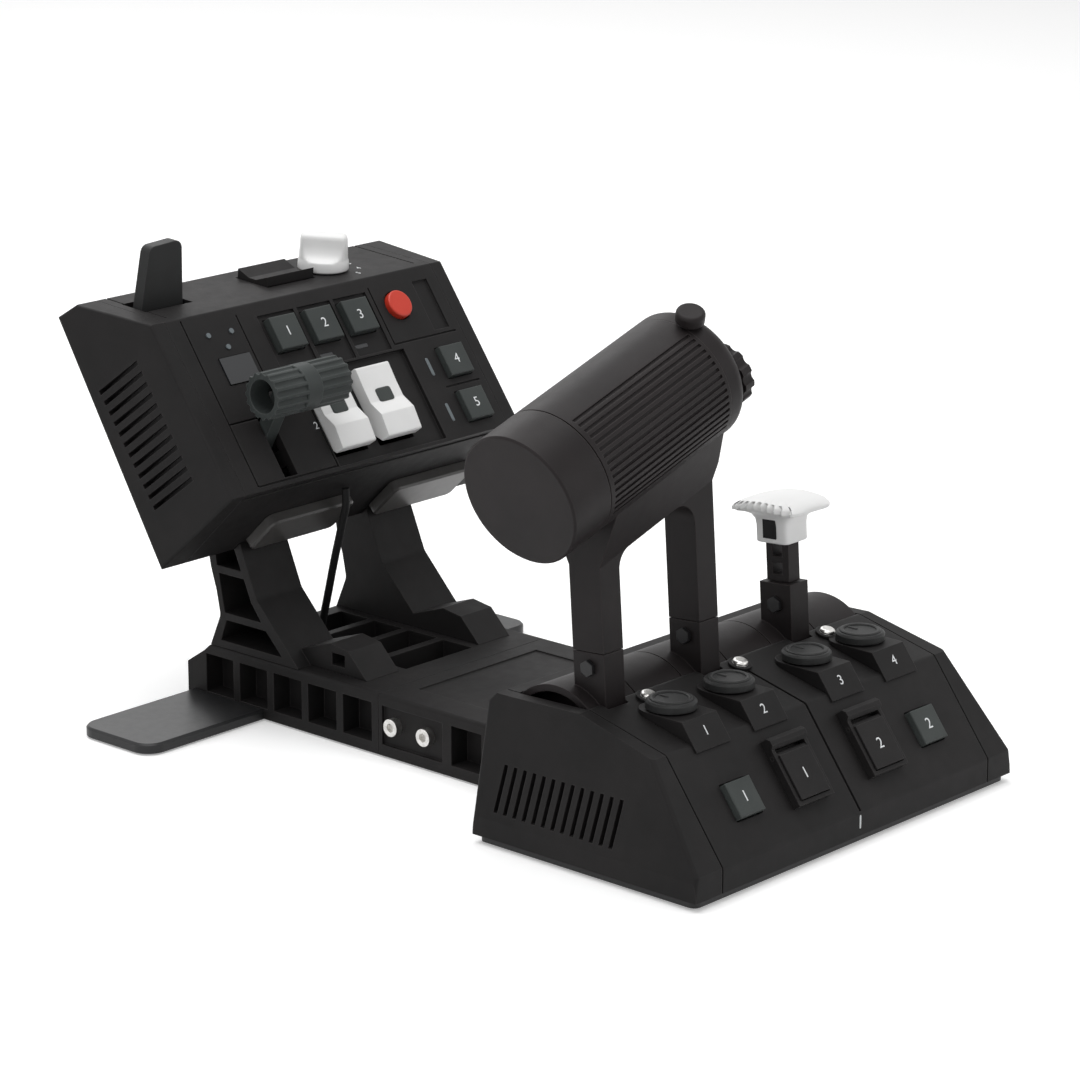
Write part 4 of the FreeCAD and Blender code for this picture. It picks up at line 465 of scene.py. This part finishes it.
def knob_rims():
    """A raised rim and a pointer rib on top of each rotary knob."""
    profile = [(6.0, -0.3), (6.2, 0.35), (6.6, 0.6), (7.4, 0.6), (7.8, 0.3), (7.9, -0.3)]
    for number, x in enumerate(KNOB_X, start=1):
        body = f"knob_{number}"
        top = surface(f"rotary_knob_{number}", BENCH, x, KNOB_Y)
        rings = [oval(x, KNOB_Y, top + rise, radius, radius) for radius, rise in profile]
        skin(f"knob_rim_{number}", BENCH, rings, PADDLE, body, closed=True)
        pad(f"knob_pointer_{number}", BENCH, (x, KNOB_Y + 3.6, top - 0.1), (0.6, 2.2), 0.5,
            PADDLE, body)


def knob_band():
    """The smooth band round the middle of the flap knob, between its two ribbed ends."""
    node = NODES["flap_knob"]
    corners = [node.matrix_world @ Vector(corner) for corner in node.bound_box]
    low = Vector([min(corner[axis] for corner in corners) for axis in range(3)])
    high = Vector([max(corner[axis] for corner in corners) for axis in range(3)])
    outside = (high.y - low.y) / MM / 2.0 + 0.1
    face = Matrix.Translation((low + high) / 2.0) @ Matrix.Rotation(math.radians(90.0), 4, "Y")
    profile = [(-4.0, 2.2), (-4.0, 0.4), (-3.6, 0.0), (3.6, 0.0), (4.0, 0.4), (4.0, 2.2)]
    rings = [oval(0.0, 0.0, along, outside - within, outside - within, count=64)
             for along, within in profile]
    skin("flap_knob_band", face, rings, FLAP, "flap", closed=True)


def small_fittings():
    """Pads of the white rockers, tell-tale and side bars of the panel, the slit in the toe."""
    for number, x in ((1, -12.0), (2, 14.0)):
        z = surface(f"white_rocker_{number}", PANEL, x, 24.6) - 0.5
        pad(f"rocker_pad_{number}", PANEL, (x, 24.8, z), (4.1, 3.0), 1.1, KEY,
            f"rocker_{number}")
    bars = [("tell_tale_1", -1.5, 47.6, (3.4, 0.9), WINDOW),
            ("tell_tale_2", 18.4, 47.9, (3.4, 0.9), WINDOW),
            ("side_bar_1", 47.7, 32.2, (0.8, 4.0), LAMP),
            ("side_bar_2", 46.7, 11.6, (0.8, 4.0), LAMP)]
    for name, x, y, half, finish in bars:
        z = surface("panel_fascia", PANEL, x, y) - 0.2
        pad(name, PANEL, (x, y, z), half, 0.5, finish, "stand")
    toe_y, toe_z = -53.05, 8.0
    outline = oval(0.0, 0.0, 0.0, 0.45, 2.6, 5.0, 24)
    slit = [[(x, toe_y + inward, toe_z + up) for x, up, _ in outline] for inward in (0.0, 0.9)]
    skin("toe_light", BENCH, slit, LAMP_ON, "stand", smooth=False)


# ------------------------------------------------------------------ stage, light and camera
FLOOR_REACH = 6.0
FLOOR_LIFT = 0.3
DOME_STRENGTH = 0.30
SUBJECT = (0.0, 0.08, 0.08)
SOFTBOXES = [                           # name, place, target, size in metres, watts
    ("top_light", (-0.15, 0.25, 1.9), (0.0, 0.05, 0.08), (1.8, 1.8), 30.0),
    ("key_light", (-1.7, -0.5, 1.2), SUBJECT, (1.2, 1.0), 5.5),
    ("fill_light", (1.2, -1.9, 0.9), SUBJECT, (1.6, 1.2), 6.5),
    ("rim_light", (0.9, 2.0, 1.5), (0.0, 0.08, 0.1), (1.4, 0.9), 9.0)]
EYE = (-1.0595, -0.8566, 0.4943)
EYE_AZIMUTH, EYE_ELEVATION = -47.8, 16.0
LENS, SENSOR = 129.17, 36.0


def seen_directly(tree):
    """1 for what the camera sees directly, in a reflection or through glass, and 0 for light."""
    rays = tree.nodes.new("ShaderNodeLightPath")
    total = rays.outputs["Is Camera Ray"]
    for name in ("Is Glossy Ray", "Is Transmission Ray"):
        larger = tree.nodes.new("ShaderNodeMath")
        larger.operation = "MAXIMUM"
        tree.links.new(total, larger.inputs[0])
        tree.links.new(rays.outputs[name], larger.inputs[1])
        total = larger.outputs["Value"]
    return total


def stage():
    """A wide pale floor that shows white to the camera except under the object's shadow."""
    mesh = bpy.data.meshes.new("floor")
    floor_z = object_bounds()[0][2]
    corners = ((-1, -1), (1, -1), (1, 1), (-1, 1))
    mesh.from_pydata([(x * FLOOR_REACH, y * FLOOR_REACH, floor_z) for x, y in corners], [],
                     [(0, 1, 2, 3)])
    floor = bpy.data.objects.new("floor", mesh)
    bpy.context.scene.collection.objects.link(floor)
    shader = Shader("floor")
    lift = shader.tree.nodes.new("ShaderNodeMath")
    lift.operation = "MULTIPLY"
    lift.inputs[1].default_value = FLOOR_LIFT
    shader.link(seen_directly(shader.tree), lift.inputs[0])
    shader.set(Base_Color=(0.93, 0.93, 0.93, 1.0), Roughness=0.9,
               Emission_Color=(1.0, 1.0, 1.0, 1.0), Emission_Strength=lift.outputs["Value"])
    mesh.materials.append(shader.material)
    floor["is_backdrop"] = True


def sky():
    """White to the camera and in reflections, a soft grey dome for everything else."""
    world = bpy.data.worlds.new("studio")
    world.use_nodes = True
    bpy.context.scene.world = world
    tree = world.node_tree
    soft = tree.nodes["Background"]
    white = tree.nodes.new("ShaderNodeBackground")
    for background, strength in ((soft, DOME_STRENGTH), (white, 1.0)):
        background.inputs["Color"].default_value = (1.0, 1.0, 1.0, 1.0)
        background.inputs["Strength"].default_value = strength
    mix = tree.nodes.new("ShaderNodeMixShader")
    tree.links.new(seen_directly(tree), mix.inputs["Fac"])
    tree.links.new(soft.outputs["Background"], mix.inputs[1])
    tree.links.new(white.outputs["Background"], mix.inputs[2])
    tree.links.new(mix.outputs["Shader"], tree.nodes["World Output"].inputs["Surface"])


def softbox(name, place, target, size, watts):
    light = bpy.data.lights.new(name, "AREA")
    light.shape = "RECTANGLE"
    light.size, light.size_y = size
    light.energy = watts
    lamp = bpy.data.objects.new(name, light)
    bpy.context.scene.collection.objects.link(lamp)
    lamp.location = place
    heading = Vector(target) - Vector(place)
    lamp.rotation_euler = heading.to_track_quat("-Z", "Y").to_euler()


def camera():
    """The viewpoint: front left, a little above, through a long lens."""
    data = bpy.data.cameras.new("camera")
    data.lens = LENS
    data.sensor_width = SENSOR
    data.clip_end = 20.0
    eye = bpy.data.objects.new("camera", data)
    bpy.context.scene.collection.objects.link(eye)
    azimuth = math.radians(EYE_AZIMUTH)
    elevation = math.radians(EYE_ELEVATION)
    right = Vector((math.cos(azimuth), math.sin(azimuth), 0.0))
    back = Vector((math.sin(azimuth) * math.cos(elevation),
                   -math.cos(azimuth) * math.cos(elevation), math.sin(elevation)))
    turn = Matrix((right, back.cross(right), back)).transposed().to_4x4()
    eye.matrix_world = Matrix.Translation(EYE) @ turn
    bpy.context.scene.camera = eye


def build():
    bpy.context.view_layer.update()
    dress_nodes()
    dress_parts("drum_screws", [SHELL, STEEL], DECK, above_screw_rings)
    dress_parts("panel_lights", [LAMP, WINDOW], PANEL, in_label_window)
    base_numbers()
    panel_numbers()
    handle()
    selector()
    knob_rims()
    knob_band()
    small_fittings()
    stage()
    sky()
    for box in SOFTBOXES:
        softbox(*box)
    camera()
    bpy.context.scene.view_settings.view_transform = "Standard"


build()
